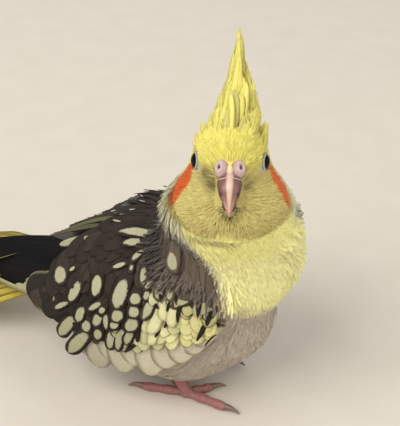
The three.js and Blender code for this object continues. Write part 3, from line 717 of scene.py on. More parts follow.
def add_blades(name, points, colours, at):
    """A piece of small soft blades, each with a small patch at its own place on the piece's map."""
    count, stations, sides = points.shape[:3]
    vane = vane_map(evenly(sides), evenly(stations), count)
    add_tubes(name, points, DOWN, (), colours,
              {"OFBake": patches(at, vane, PATCH_SIZE), "Vane": vane}, smooth=False)


EYE_ROOM = 0.35
BILL_ROOM = {"from": BILL_SEAT - 1.2, "half": 3.4, "low": -7.6, "high": 5.4}


def clear_of_face(points):
    """True for feathers that stay out of the eyes and off the bill."""
    keep = np.ones(len(points), bool)
    for side in (-1, 1):
        eye = on_head(EYE["forward"], side * EYE["side"], EYE["up"])
        near = np.linalg.norm(points - eye, axis=-1).min((1, 2))
        keep &= near > EYE["radius"] + EYE_ROOM
    forward, left, up = np.moveaxis(head_place(points), -1, 0)
    room = BILL_ROOM
    bill = (forward > room["from"]) & (np.abs(left) < room["half"]) & (up > room["low"]) & (up < room["high"])
    return keep & ~bill.any((1, 2))


def add_coat(name, spots, length, width, rise, swing, slot="body_plumage", vary=0.06, tips=None,
             face=False, colour=None, **lie):
    """A coat piece: roots, blades, colours that vary from feather to feather, and maps."""
    place, angle, draw = spots
    count = len(place)
    length, width, rise = ((size(place, angle) if callable(size) else size) * some(draw, count, share)
                           for size, share in ((length, 0.16), (width, 0.12), (rise, 0.45)))
    points, shown, turned, middle = lay_feathers(place, angle, draw, length, width, rise, swing, **lie)
    base = plumage(shown, turned, middle) if colour is None else colour(count, draw)
    base = base * (1 + vary * draw.standard_normal(count))[:, None]
    full = np.broadcast_to(base[:, None, None], points.shape).copy()
    full *= (0.86 + 0.2 * evenly(points.shape[1]))[None, :, None, None]
    if tips is not None:
        full = tips(full, place, angle, draw)
    at = abreast(np.mod(angle, TURN) / TURN, place / (LAST + 1))
    if face:
        keep = clear_of_face(points)
        points, full, at = points[keep], full[keep], at[keep]
    add_blades(name, points, full.clip(0.002, 1), at)


# %% [markdown]
# The face is dressed in the shortest and densest feathers, the neck and breast in soft longer ones
# that hide their own edges, and the belly in loose fluff that hangs over the feet.

# %% Face, neck, breast, belly and back
def fringe(full, place, angle, draw):
    """Dark hair-like tips on some feathers at the lower edge of the face."""
    around = from_top(angle)
    near = np.exp(-((place - face_border(around) - 0.1) / 0.13) ** 2) * (around > 95) * (np.sin(angle) < 0)
    dark = near * (draw.random(len(place)) < 0.35)
    full[:, -1] = blend(full[:, -1], TAUPE_DEEP * 0.8, 0.45 * dark[:, None])
    return full


def ruff(place, angle):
    """1 behind the right ear, where the plumage stands out, falling to 0 round it."""
    around = from_top(angle)
    return np.exp(-(((place - 7.2) / 0.4) ** 2) - ((around - 80) / 28) ** 2) * (np.sin(angle) < 0)


face_length = lambda place, angle: 3.4 + 4.4 * ease(8.2 - place, 0, 1.3)
face_width = lambda place, angle: 0.7 + 0.5 * ease(8.3 - place, 0, 1.4)
face_rise = lambda place, angle: 0.15 + 0.35 * ease(8.2 - place, 0, 1.2) + 1.5 * ruff(place, angle)
face_weight = lambda place, angle: (1 + 1.2 * ease(place, 8.2, 8.6)) * ease(place, 6.95, 7.6)
cheek_weight = lambda place, angle: 1 - 0.9 * ease(place, 7.3, 7.7)
face_coat = {"length": face_length, "width": face_width, "rise": face_rise, "swing": 7,
             "slot": "face_plumage", "vary": 0.08, "face": True}
# root_spots takes the number of feathers and the places between which they are rooted
add_coat("coat_face", root_spots(9800, 6.95, 8.96, face_weight, seed=11), **face_coat)
add_coat("coat_cheeks", root_spots(9800, 6.75, 8.15, cheek_weight, seed=15), tips=fringe, **face_coat)
even = lambda place, angle: np.ones(place.shape)
full_left = lambda place, angle: 0.45 + 1.7 * ease(np.sin(angle), 0.1, 0.6) * ease(place, 0.6, 2.0)
neck_rise = lambda place, angle: full_left(place, angle) + 1.8 * ruff(place, angle)
add_coat("coat_neck", root_spots(7600, 5.5, 6.95, even, seed=12), length=8.5, width=1.8,
         rise=neck_rise, swing=8)


def breast_weight(place, angle):
    """Fewer feathers where the folded wing hides them, and none lost on breast, belly and back."""
    around = from_top(angle)
    hidden = ease(around, 34, 44) * (1 - ease(around, 98, 110)) * (1 - ease(place, 4.7, 5.2))
    return 1 - 0.75 * hidden


add_coat("coat_breast", root_spots(9800, 3.2, 5.7, breast_weight, seed=13), length=9.5, width=2.1,
         rise=full_left, swing=10)
add_coat("coat_belly", root_spots(9800, 0.15, 3.4, breast_weight, seed=14), length=11, width=2.5,
         rise=full_left, swing=13)

# %% [markdown]
# Where two kinds of plumage meet, loose hair-like barbs cross the border. Pale ones fan out from the
# bib over the dark shoulder, and a fringe hangs from the lower edge of the face. Soft grey feathers
# of the shoulder cover the front edge of the wing, so that it has no hard border.

# %% Shoulder feathers and fringes
def near_line(line, spread):
    """Weight of places near a line of places and angles, on both sides of the body."""
    line = np.array(line, float)

    def weight(place, angle):
        around = from_top(angle)
        at = np.interp(place, line[:, 0], line[:, 1])
        inside = (place > line[0, 0]) & (place < line[-1, 0])
        return np.exp(-((around - at) / spread) ** 2) * inside + 1e-9

    return weight


def strands(pale, dark, share):
    """A chooser of pale or dark colour for each strand."""
    return lambda count, draw: np.where((draw.random(count) < share)[:, None], dark, pale)


def shoulder_weight(place, angle):
    """Roots on both shoulders, from the back's side to the bib's border."""
    around = from_top(angle)
    low = 4.75 + 0.65 * ease(around, 62, 92)
    return ease(around, 26, 40) * (1 - ease(around, 122, 130)) * ease(place, low - 0.1, low + 0.3) + 1e-9


shoulder_rise = lambda place, angle: 0.6 + 4.2 * ease(6.1 - place, 0, 1.1)
add_coat("coat_shoulder", root_spots(7200, 4.65, 6.15, shoulder_weight, seed=16), length=7.5, width=1.5,
         rise=shoulder_rise, swing=12, table=wing_table, tip=0.3)
BIB_BORDER = ((5.0, 126), (5.8, 126), (6.3, 125), (6.9, 121))
add_coat("fringe_bib", root_spots(1300, 5.0, 6.9, near_line(BIB_BORDER, 3.5), seed=17), length=4.6,
         width=0.26, rise=0.9, swing=14, lean=-44.0,
         colour=strands(blend(WHITE_DOWN, TAUPE, 0.5), BIB * 0.9, 0.4))
FACE_EDGE = ((7.05, 98), (7.18, 106), (7.6, 142), (8.0, 175))
face_line = near_line(FACE_EDGE, 5)
on_right = lambda place, angle: face_line(place, angle) * (0.02 + (np.sin(angle) < 0))
add_coat("fringe_face", root_spots(600, 7.06, 7.99, on_right, seed=18), length=4.6, width=0.28, rise=0.7,
         swing=9, slot="face_plumage", colour=strands(blend(OLIVE, BIB, 0.3), TAUPE_DEEP * 0.8, 0.16))


def nape_weight(place, angle):
    """Roots behind the head, from one side of the neck over the top to the other."""
    around = from_top(angle)
    return (1 - ease(around, 28, 48)) + 1e-9


def nape_colours(count, draw):
    """Cream with some grey and some yellow feathers between."""
    return blend(blend(NAPE, LEMON, 0.25 * draw.random(count)), TAUPE, 0.5 * (draw.random(count) < 0.22))


def nape_tips(full, place, angle, draw):
    """Tips of the lowest feathers turn to the colour of the back, so that the border is soft."""
    share = ease(6.15 - place + 0.2 * draw.standard_normal(len(place)), 0, 0.4)[:, None, None]
    return blend(full, BACK, share * np.array([0.2, 0.6, 0.85, 1.0])[None, :, None])


nape_rise = lambda place, angle: 0.9 + 1.1 * ease(6.5 - place, 0, 0.8)
add_coat("coat_nape", root_spots(3600, 5.6, 6.8, nape_weight, seed=19), length=6.5, width=1.7, rise=nape_rise,
         swing=18, colour=nape_colours, tips=nape_tips, table=wing_table, tip=0.4)

# %% [markdown]
# ## Wings
# A folded wing shows its feathers in tiers. Small coverts near the shoulder lie over larger ones,
# these over the secondaries, and the long primaries run back over the root of the tail. Lines from
# the shoulder to the wing's edge set the way that the feathers point. A place on a wing is then two
# shares, along its line and across the lines, and a height.

# %% Places on a wing
# six lines, from the spine to the lower edge, each with four knots of place, angle and stand-off
WING_LINES = np.array([
    [[5.2, 4, 0.0], [3.6, 4, 0.1], [1.85, 10, 0.4], [0.15, 24, 0.8]],
    [[5.5, 30, 0.0], [2.95, 25, 0.1], [1.05, 46, 0.8], [0.2, 82, 1.6]],
    [[5.7, 50, 0.0], [3.1, 39, 0.1], [1.4, 75, 1.3], [0.7, 122, 3.0]],
    [[5.75, 70, 0.0], [3.65, 48, 0.1], [2.15, 82, 1.4], [1.55, 130, 3.2]],
    [[5.5, 92, 0.0], [4.05, 72, 0.1], [3.05, 96, 1.1], [2.6, 130, 2.4]],
    [[5.15, 116, 0.0], [4.65, 114, 0.1], [4.2, 122, 0.6], [3.9, 130, 1.2]],
])
FIRST_ALONG, LAST_ALONG = -0.4, 1.2
KNOTS_ALONG, KNOTS_ACROSS = 161, 101
LINE_TABLE = np.linspace(FIRST_ALONG, LAST_ALONG, KNOTS_ALONG)
LINE_TABLE = np.stack([through(line, LINE_TABLE) for line in WING_LINES])
LINE_TABLE = through(LINE_TABLE, evenly(KNOTS_ACROSS))


def wing_place(along, across):
    """Place, angle and stand-off, mixed between the four nearest entries of the table of lines."""
    along, across = np.broadcast_arrays(along, across)
    rows, columns = LINE_TABLE.shape[:2]
    v = across * (rows - 1)
    u = (along - FIRST_ALONG) / (LAST_ALONG - FIRST_ALONG) * (columns - 1)
    i, j = np.clip(v.astype(int), 0, rows - 2), np.clip(u.astype(int), 0, columns - 2)
    return mixed(LINE_TABLE, i, j, j + 1, (v - i)[..., None], (u - j)[..., None])


def wing_at(side, along, across, height):
    """A point over the wing's own eggs, at the place and angle that the two shares give."""
    along, across, height = np.broadcast_arrays(along, across, height)
    place, angle, off = np.moveaxis(wing_place(along, across), -1, 0)
    points, normals, _ = look(wing_table, place, np.radians(side * angle))
    return points + normals * (height + off)[..., None]


def wing_span(side, along, across):
    """Millimetres per unit of the share across, from two points a small step apart."""
    step = 0.02
    apart = wing_at(side, along, across + step, 2.0) - wing_at(side, along, across - step, 2.0)
    return np.linalg.norm(apart, axis=-1) / (2 * step)


def vane_width(share, full, tip=0.12, shoulder=0.7):
    """Half width along a firm feather: narrow root, full from a third, and a rounded tip."""
    rise = np.minimum(1, 0.5 + 1.5 * share)
    fall = np.sqrt(np.clip(1 - ((share - shoulder) / (1 - shoulder)) ** 2, 0, 1))
    return full / 2 * rise * np.where(share > shoulder, np.maximum(fall, tip), 1)


SIDES = np.array([-1.0, -0.55, 0.0, 0.55, 1.0])


def crowded(stations, power=1.5):
    """Shares from 0 to 1 that crowd towards the tip, where the outline turns."""
    return 1 - (1 - evenly(stations)) ** power


def wing_feathers(side, root, tip, across, width, low, high, tilt, stations=9, bow=0.35, shoulder=0.7,
                  turn=None):
    """Feathers on a wing: heights from low at the root to high at the tip, tilted so that each one's
    lower edge lies over its neighbour, with the middle bowed up. Each may turn about its tip."""
    share = crowded(stations)[None]
    along = root[:, None] + (tip - root)[:, None] * share
    half = vane_width(share, width[:, None], shoulder=shoulder)
    span = wing_span(side, along, np.broadcast_to(across[:, None], along.shape))
    x = SIDES * side
    shift = half[..., None] * x
    per = line_scale(side, tip, across)[:, None, None]
    sway = np.radians(np.zeros(len(tip)) if turn is None else turn)[:, None, None]
    behind = (tip[:, None] - along)[..., None] * per
    aside = shift * side
    q = across[:, None, None] + (behind * np.sin(sway) + aside * np.cos(sway)) / span[..., None]
    along = tip[:, None, None] - (behind * np.cos(sway) - aside * np.sin(sway)) / per
    height = low[:, None] + (high - low)[:, None] * share
    stand = height[..., None] + tilt * shift / width.max() * np.minimum(1, 0.3 + share)[..., None]
    stand = stand + bow * (1 - x * x) * (half / (width[:, None] / 2))[..., None]
    return wing_at(side, along, q, stand)


NO_MARK = (0, 0, 0.5)


def add_firm(name, points, ground, pearl, mark, rim, at, patch, replaced=(), reverse=False, barbs=160):
    """Firm feathers. A mark is its half width, half length and middle; a rim is where it starts and
    how strong it is. Barbs are how dense the ripples stand. at and patch lay out the piece's own map."""
    count, stations, _ = points.shape[:3]
    rim = np.broadcast_to(rim, (count, 2))
    rim = np.concatenate([rim, np.full((count, 1), barbs)], -1)
    vane = vane_map((SIDES * (-1 if reverse else 1) + 1) / 2, crowded(stations), count)
    colours = {"Plumage": per_feather(ground, count), "Pearl": per_feather(pearl, count)}
    floats = {"Mark": per_feather(mark, count), "Rim": per_feather(rim, count)}
    add_tubes(name, points, VANE, replaced, colours,
              {"OFBake": patches(at, vane, patch), "Vane": vane}, floats)


def add_wing(name, side, points, along, across, ground, pearl, mark, rim, patch, barbs=160):
    """Firm feathers of a wing, each with its patch at its own place on that wing's half of the map."""
    add_firm(name, points, ground, pearl, mark, rim, bake_places(side, along, across), patch,
             reverse=side < 0, barbs=barbs)


# %% [markdown]
# The coverts are set out in columns along the wing's lines. Steps along a column are long over the
# shoulder blade, where large plain feathers lie, and short in the rows below, where each feather is
# small and carries a pearl. Every second column is shifted by half a step, as on a real wing. The few
# large pearls of the upper wing are feathers of their own, laid where this bird has them.

# %% Coverts
# place and angle of the upper and of the lower end of each pearl, and its width
PEARLS = np.array([
    [1.58, 59, 1.52, 70, 4.6], [1.86, 56, 1.78, 59, 1.1], [2.46, 58, 2.34, 71, 3.0],
    [1.98, 66, 1.78, 80, 3.5], [3.08, 59, 2.72, 76, 4.2], [3.8, 52, 3.56, 62, 2.6],
    [3.08, 47, 2.8, 51, 2.2], [3.88, 42, 3.36, 46, 1.9], [5.84, 84, 5.3, 76, 4.4],
    [3.9, 34, 3.02, 36, 2.7], [4.4, 30, 2.88, 29, 2.7], [1.66, 83, 1.36, 92, 2.2],
    [2.4, 75, 2.16, 82, 2.1], [1.98, 83, 1.82, 95, 3.3], [2.0, 93, 1.9, 102, 3.5],
    [1.72, 93, 1.22, 118, 4.2], [1.84, 105, 1.26, 131, 4.7], [2.34, 83, 2.18, 94, 3.1],
    [2.44, 78, 2.38, 82, 2.0], [2.46, 83, 2.38, 94, 1.6], [2.18, 98, 2.08, 107, 3.0],
    [2.74, 78, 2.64, 86, 3.5], [2.6, 87, 2.52, 93, 2.7], [2.48, 95, 2.24, 113, 2.9],
    [3.28, 67, 3.12, 73, 3.4], [3.1, 75, 3.02, 82, 3.4], [2.98, 84, 2.82, 93, 4.2],
    [2.68, 93, 2.38, 113, 2.6], [3.64, 72, 3.2, 84, 2.7], [3.52, 86, 3.22, 96, 3.0],
    [3.9, 79, 3.66, 88, 2.9], [3.98, 62, 3.6, 64, 1.8], [4.16, 71, 3.88, 73, 2.6],
    [4.5, 69, 4.26, 68, 2.0], [4.62, 78, 4.4, 80, 1.9], [3.64, 67, 3.44, 71, 2.0],
    [3.24, 98, 3.1, 105, 2.2], [4.26, 85, 3.7, 94, 2.6], [2.84, 94, 2.62, 105, 2.6],
    [2.86, 2, 2.68, 6, 1.2], [2.66, 12, 2.54, 14, 1.0], [2.74, 21, 2.54, 21, 0.8],
    [3.3, 49, 3.26, 52, 1.1],
])
# dark feathers between the pale ones of the patch, in the same way
STREAKS = np.array([
    [4.54, 90, 3.98, 94, 1.5], [4.96, 103, 4.66, 103, 1.2], [4.4, 110, 3.84, 116, 1.8],
    [4.78, 111, 4.58, 111, 1.6], [4.12, 70, 4.02, 74, 1.8], [3.56, 75, 3.7, 79, 1.5],
    [3.72, 90, 3.54, 95, 1.4], [4.04, 123, 3.8, 125, 1.2], [2.96, 94, 2.88, 102, 1.8],
    [4.24, 81, 3.96, 84, 1.2], [2.7, 108, 2.52, 113, 1.6], [3.38, 95, 3.24, 100, 1.4],
])
# the broad dark feathers at the rear edge, which have a thin pale rim, in the same way
SHELLS = np.array([[1.4, 70, 0.4, 95, 11.0], [1.4, 78, 0.56, 99, 10.0], [1.5, 88, 0.95, 102, 8.5]])
# the inner feathers by the spine, olive with dark edges, in the same way
TERTIALS = np.array([
    [2.3, 6, 0.95, 8, 5.5], [2.2, 15, 1.0, 19, 5.0], [2.1, 24, 1.15, 30, 4.6], [2.0, 35, 1.4, 41, 3.6],
])
# places and angles along the rear edge, behind which only the primaries show
REAR_EDGE = np.array([
    [2.1, 25], [1.82, 43], [1.6, 52], [1.28, 69], [0.82, 83], [0.56, 97], [0.62, 101], [1.05, 112],
    [1.1, 122],
])


def line_scale(side, along, across):
    """Millimetres for each unit of the share along the wing's lines."""
    ahead = wing_at(side, along + 0.02, across, 2.0) - wing_at(side, along - 0.04, across, 2.0)
    return np.linalg.norm(ahead, axis=-1) / 0.06


def before_rear_edge(side, root, tip, across, turn):
    """True for feathers that stay before the rear edge of the coverts, at their tips and further up."""
    per, span, sway = line_scale(side, tip, across), wing_span(side, tip, across), np.radians(turn)
    kept = np.ones(len(tip), bool)
    for share in (0, 0.2, 0.4, 0.6):
        back = share * (tip - root) * per
        spot = wing_place(tip - back * np.cos(sway) / per, across + back * np.sin(sway) / span)
        kept &= spot[..., 0] > np.interp(spot[..., 1], REAR_EDGE[:, 1], REAR_EDGE[:, 0])
    return kept


def covert_turn(along, across):
    """The coverts below the shoulder blade hang steeper than their lines, by up to this many degrees."""
    return -36 * ease(along, 0.34, 0.52) * ease(across, 0.16, 0.34) * (1 - 0.8 * ease(across, 0.6, 0.8))


def dense_start(across):
    """How far along the rows of small pearled feathers begin: low at the rear, high at the wrist."""
    return np.interp(across, [0, 0.34, 0.44, 0.6, 0.8, 1], [1.1, 1.1, 0.76, 0.58, 0.38, 0.22])


def covert_spots(side, columns, step, first, last, long):
    """Share along at the root and tip, share across, and the line's length, for each covert."""
    rows = []
    for column in range(columns):
        across = (column + 0.5) / columns
        shares = evenly(90)
        line = wing_at(side, shares, np.full(90, across), np.zeros(90))
        run = np.concatenate([[0], np.cumsum(np.linalg.norm(np.diff(line, axis=0), axis=-1))])
        start, end = np.interp([first(across), last(across)], shares, run)
        tips = np.arange(start + step * (0.2 + 0.5 * (column % 2)), end, step)
        roots = tips - long * step
        before = roots < 0
        root = np.where(before, roots / run[-1], np.interp(roots, run, shares))
        rows.append(abreast(root, np.interp(tips, run, shares), across, run[-1]))
    return np.concatenate(rows)


def patch_share(along, across):
    """1 in the broad pale patch behind the wrist, 0 elsewhere."""
    return ease(across, 0.66, 0.84) * ease(along, 0.3 - 0.14 * ease(across, 0.8, 0.9), 0.56)


def surface_height(along, across):
    """How high the wing's outer face stands: flush at spine and shoulder, full between, low at the edge."""
    full = 1.3 + 3.5 * ease(along, -0.08, 0.3) - 2.4 * ease(along, 0.66, 1.0)
    return 1.0 + (full - 1.0) * (0.35 + 0.65 * ease(across, -0.02, 0.16))


def bake_places(side, along, across):
    """Each wing takes its own half of the map, laid out by its two shares."""
    return abreast((0.03 + 0.44 * across) + (0.5 if side > 0 else 0), 0.04 + 0.9 * along.clip(0, 1))


def upper_colours(along, across, draw):
    """Ground of the large plain feathers: warm dark brown, greyer and softer towards the shoulder."""
    grey = (1 - ease(along, 0.02, 0.3)) * ease(across, 0.3, 0.55)
    grey = np.maximum(grey, (1 - ease(along, 0.3, 0.5)) * ease(across, 0.5, 0.62))
    ground = blend(blend(SLATE, BACK, 0.35), SHOULDER, grey)
    return ground * (1 + 0.13 * draw.standard_normal(len(along)))[:, None]


def covert_rows(side, draw, rows, first, last):
    """Roots, tips, shares across and turns of the coverts before the rear edge, each a little shifted,
    how broad they are by their rows, and their share of the pale patch."""
    root, tip, across, run = covert_spots(side, rows["columns"], rows["step"], first, last, rows["long"]).T
    turn = covert_turn(tip, across) + 4 * draw.standard_normal(len(tip))
    kept = before_rear_edge(side, root, tip, across, turn)
    root, tip, across, run, turn = (values[kept] for values in (root, tip, across, run, turn))
    patch = patch_share(tip, across)
    across = across + rows["aside"] * draw.standard_normal(len(tip))
    tip = tip + rows["ahead"] / run * draw.standard_normal(len(tip))
    width = rows["overlap"] * wing_span(side, tip - 0.02, across) / rows["columns"]
    return root, tip, across, turn, width, patch


# columns, millimetres between tips, lengths in steps, breadths in columns, and shifts aside and ahead
UPPER = {"columns": 18, "step": 5.8, "long": 2.4, "overlap": 1.9, "aside": 0.008, "ahead": 0.9}
SMALL = {"columns": 30, "step": 3.7, "long": 2.9, "overlap": 1.75, "aside": 0.005, "ahead": 0.7}


def make_upper_coverts(side, name):
    """Large plain feathers over the shoulder blade, with soft paler fringes here and there."""
    draw = seeded(21)
    first, last = (lambda q: 0.0), (lambda q: min(dense_start(q) + 0.05, 0.9))
    root, tip, across, turn, width, _ = covert_rows(side, draw, UPPER, first, last)
    count = len(tip)
    width = width.clip(3.6, 9.5) * varied(draw, count, 0.1)
    high = surface_height(tip, across) + 0.3 + 0.12 * draw.standard_normal(count)
    low = surface_height(root, across) - 1.3
    points = wing_feathers(side, root, tip, across, width, low, high, tilt=0.55, bow=0.25,
                           shoulder=0.42, turn=turn)
    ground = upper_colours(tip, across, draw)
    last_row = ease(tip, 0.74, 0.84) * (across < 0.36)
    pearl = blend(blend(ground, SHOULDER, 0.55), PEARL, 0.75 * last_row)
    mark = abreast(0.5, 0.03 + 0.03 * last_row, 1.0) * (last_row > 0.4)[:, None]
    rim = abreast(0.3, 0.5 + 0.5 * last_row)
    add_wing(name, side, points, tip, across, ground, pearl, mark, rim, patch=(0.012, 0.02))


def make_small_coverts(side, name):
    """Rows of small feathers, each with a pearl, from mid wing nearly to the edge."""
    draw = seeded(23)
    first, last = (lambda q: dense_start(q) - 0.03), (lambda q: 0.88)
    root, tip, across, turn, width, patch = covert_rows(side, draw, SMALL, first, last)
    count = len(tip)
    width = (width * varied(draw, count, 0.14)).clip(2.4, 6.0)
    high = surface_height(tip, across) + 0.1 + 0.22 * draw.standard_normal(count)
    low = surface_height(root, across) - 1.3
    points = wing_feathers(side, root, tip, across, width, low, high, tilt=0.8, bow=0.3,
                           shoulder=0.6, turn=0.4 * turn)
    shade = varied(draw, count, 0.1)[:, None]
    front = ease(across, 0.6, 0.75)
    ground = blend(SLATE, SHOULDER, front * (0.4 + 0.6 * draw.random(count))) * shade
    bright = blend(PATCH * 0.92, BIB * 0.9, ease(across, 0.85, 0.93))
    pearl = blend(blend(PEARL, PEARL_GREEN, draw.random(count)), bright, patch) * shade
    whole = ease(patch, 0.6, 0.95) * ease(across, 0.81, 0.87)
    ground = blend(ground, pearl * 0.92, whole)
    thin = 1 + 0.22 * draw.standard_normal((count, 2)).clip(-2, 2)
    has = draw.random(count) < 0.05 + ease(patch, 0.05, 0.3)
    wide = (0.3 + 0.2 * patch) * thin[:, 0] * has
    long = (0.17 + 0.24 * patch) * thin[:, 1] * has
    mark = abreast(wide, long, 0.79 - 0.1 * patch + 0.04 * draw.standard_normal(count))
    rim = abreast(0.42, 0.3 * patch)
    add_wing(name, side, points, tip, across, ground, pearl, mark, rim, patch=(0.008, 0.014))


def nearest_shares(place, angle):
    """The two shares at a place and an angle: a mean over the table, weighted by nearness."""
    apart = (LINE_TABLE[None, ..., 0] - place[:, None, None]) ** 2
    apart = apart + ((LINE_TABLE[None, ..., 1] - angle[:, None, None]) / 24) ** 2
    weight = np.exp(-(apart - apart.min((1, 2), keepdims=True)) / 0.001)
    weight = weight / weight.sum((1, 2), keepdims=True)
    across = evenly(LINE_TABLE.shape[0])[:, None]
    along = np.linspace(FIRST_ALONG, LAST_ALONG, LINE_TABLE.shape[1])
    return (weight * along).sum((1, 2)), (weight * across).sum((1, 2))


def feathers_between(side, ends, broad, margin, reach, lift, shoulder=0.6):
    """Feathers whose lines run through two listed places: margin beyond the second one, and as long
    as the places are apart, times the first number of reach, plus its second."""
    upper, upper_across = nearest_shares(ends[:, 0], ends[:, 1])
    lower, lower_across = nearest_shares(ends[:, 2], ends[:, 3])
    span, per = wing_span(side, lower, lower_across), line_scale(side, lower, lower_across)
    ahead, aside = (lower - upper) * per, (upper_across - lower_across) * span
    length, sway = np.hypot(ahead, aside), np.arctan2(aside, ahead)
    full = length * reach[0] + reach[1]
    tip = lower + margin * np.cos(sway) / per
    across = lower_across - margin * np.sin(sway) / span
    high = surface_height(tip, across) + lift
    low = surface_height(tip - full * np.cos(sway) / per, across + full * np.sin(sway) / span) - 0.6
    points = wing_feathers(side, tip - full / per, tip, across, broad, low, high, 0.3, stations=14, bow=0.3,
                           shoulder=shoulder, turn=np.degrees(sway))
    return points, tip, across, length, full


def make_large_pearls(side, name):
    """A feather for each listed pearl."""
    draw = seeded(24)
    width = PEARLS[:, 4]
    broad, margin = width * 1.3 + 1.0, 1.0
    lift = 1.0 + 0.8 * ease(PEARLS[:, 0], 4.0, 4.4)
    points, tip, across, length, full = feathers_between(side, PEARLS, broad, margin, (1.75, 3.0), lift,
                                                         shoulder=0.83)
    ground = upper_colours(tip, across, draw)
    green = 0.5 * draw.random(len(tip)) * ease(tip, 0.5, 0.7)
    pearl = blend(blend(PEARL, PEARL_GREEN, green), WHITE_DOWN, 0.1)
    in_patch = ease(patch_share(tip, across), 0.7, 0.95)
    ground, pearl = blend(ground, PATCH * 0.86, in_patch), blend(pearl, PATCH, in_patch)
    mark = abreast(width / 2 / broad, length / 2 / full, 1 - (margin + length / 2) / full)
    add_wing(name, side, points, tip, across, ground, pearl, mark, (0.45, 0), patch=(0.008, 0.014))


def make_streaks(side, name):
    """A narrow dark feather for each listed streak."""
    points, tip, across, _, _ = feathers_between(side, STREAKS, STREAKS[:, 4], margin=0.6, reach=(1.3, 1.0),
                                                 lift=1.1)
    add_wing(name, side, points, tip, across, SLATE, SLATE, NO_MARK, (0.45, 0), patch=(0.008, 0.014))


def make_rear_shells(side, name):
    """The broad dark feathers that close the rear edge of the coverts."""
    points, tip, across, _, _ = feathers_between(side, SHELLS, SHELLS[:, 4], margin=0.5, reach=(1.4, 3.0),
                                                 lift=0.8)
    ground, pearl = np.stack([SLATE, BACK, SLATE]), np.stack([STREAK, PEARL, SHOULDER])
    rim = ((0.4, 0.9), (0.32, 1.0), (0.45, 0.6))
    add_wing(name, side, points, tip, across, ground, pearl, NO_MARK, rim, patch=(0.02, 0.03))


def make_tertials(side, name):
    """Olive feathers between the coverts' rear edge and the back, the outermost one pale."""
    points, tip, across, _, _ = feathers_between(side, TERTIALS, TERTIALS[:, 4], margin=1.0, reach=(1.2, 2.0),
                                                 lift=-0.35)
    pale = np.array([0.25, 0.5, 0.35, 1.0])
    ground = blend(SLATE, PEARL_GREEN * 0.8, pale)
    ground[-1] = PEARL
    rim = abreast(0.3, 0.9 * (pale < 0.9))
    add_wing(name, side, points, tip, across, ground, SLATE * 0.8, NO_MARK, rim, patch=(0.02, 0.03),
             barbs=400)


# %% [markdown]
# Under the coverts lie the secondaries, whose broad pale ends make the wing's lower edge, and the
# primaries, blue-black with a thin pale edge. A dark arm of the wing closes the view between them.

# %% Secondaries, primaries and the arm
TAIL_LINE = np.array([
    [-58, 0, 38.5], [-76, -2.5, 33.2], [-100, -8, 25.4], [-130, -14, 17],
    [-160, -20, 9.6], [-186, -25, 4], [-207, -29.5, 0.7],
])


def smooth_line(points, steps=24):
    """A Catmull-Rom line through points, and its share of length at each of its samples."""
    value = through(points, evenly(steps * (len(points) - 1) + 1))
    run = np.concatenate([[0], np.cumsum(np.linalg.norm(np.diff(value, axis=0), axis=-1))])
    return value, run / run[-1]


TAIL_PATH, TAIL_SHARE = smooth_line(TAIL_LINE)
TAIL_WAY = unit(np.gradient(TAIL_PATH, axis=0))


def tail_at(along, side, height):
    """A point of the tail: share along its line, then side millimetres left and height up of it."""
    along, side, height = np.broadcast_arrays(along, side, height)
    centre, ahead = (abreast(*(np.interp(along, TAIL_SHARE, part) for part in rows.T))
                     for rows in (TAIL_PATH, TAIL_WAY))
    ahead = unit(ahead)
    left = unit(np.cross(ahead, [0.0, 0.0, 1.0]))
    return centre + left * side[..., None] + np.cross(left, ahead) * height[..., None]


def bezier(points, share):
    """Points mixed by the share again and again until one is left for each share."""
    level = [np.asarray(p, float) for p in points]
    share = np.asarray(share)[..., None]
    while len(level) > 1:
        level = [a + (b - a) * share for a, b in zip(level, level[1:])]
    return level[0]


# across and tip of each secondary
SECONDARIES = np.array([
    [0.6, 0.65, 0.69, 0.735, 0.775, 0.82, 0.865, 0.91, 0.95, 0.985],
    [1.0, 1.055, 0.98, 1.045, 0.98, 1.045, 1.0, 0.99, 0.97, 0.95],
])


def make_secondaries(side, name):
    """Broad feathers from mid wing to the lower edge, dark with pale ends, nearly all pale in front."""
    draw = seeded(22)
    across, tip = SECONDARIES
    count = len(across)
    root = np.full(count, 0.5)
    width = np.where(tip > 1.04, 14.5, 12.5) * varied(draw, count, 0.05)
    points = wing_feathers(side, root, tip, across, width, np.full(count, 1.9), np.full(count, 2.0), 0.9,
                           stations=14, shoulder=0.76)
    pale = ease(across, 0.36, 0.5)
    front = ease(across, 0.62, 0.8)
    ground = blend(SLATE, BACK, 0.3) * np.ones((count, 1))
    pearl = blend(blend(PEARL, TAUPE, 0.2), blend(TIP_CREAM * 0.86, TIP_CREAM * 1.06, front), pale)
    mark = abreast(0.62, 0.02 + 0.42 * pale + 0.2 * front, 1.0 - 0.04 * pale - 0.12 * front)
    rim = abreast(0.4, 0.75 - 0.35 * pale)
    add_wing(name, side, points, tip, across, ground, pearl, mark, rim, patch=(0.022, 0.07), barbs=900)


# shares, sides and heights of the first and last feather: at root, passing the tail, and at the tip
PRIMARIES = {"count": 9, "across": (0.24, 0.56), "root": 0.58, "height": 1.0, "pass": (0.12, 0.03),
             "pass_side": (-1.0, 25.0), "tip": (0.32, 0.31), "tip_side": (-8.0, -8.0), "low": 1.0,
             "step": 0.35, "width": 11.0, "under": 2.6, "last_under": 0.9, "last_out": 0.25}


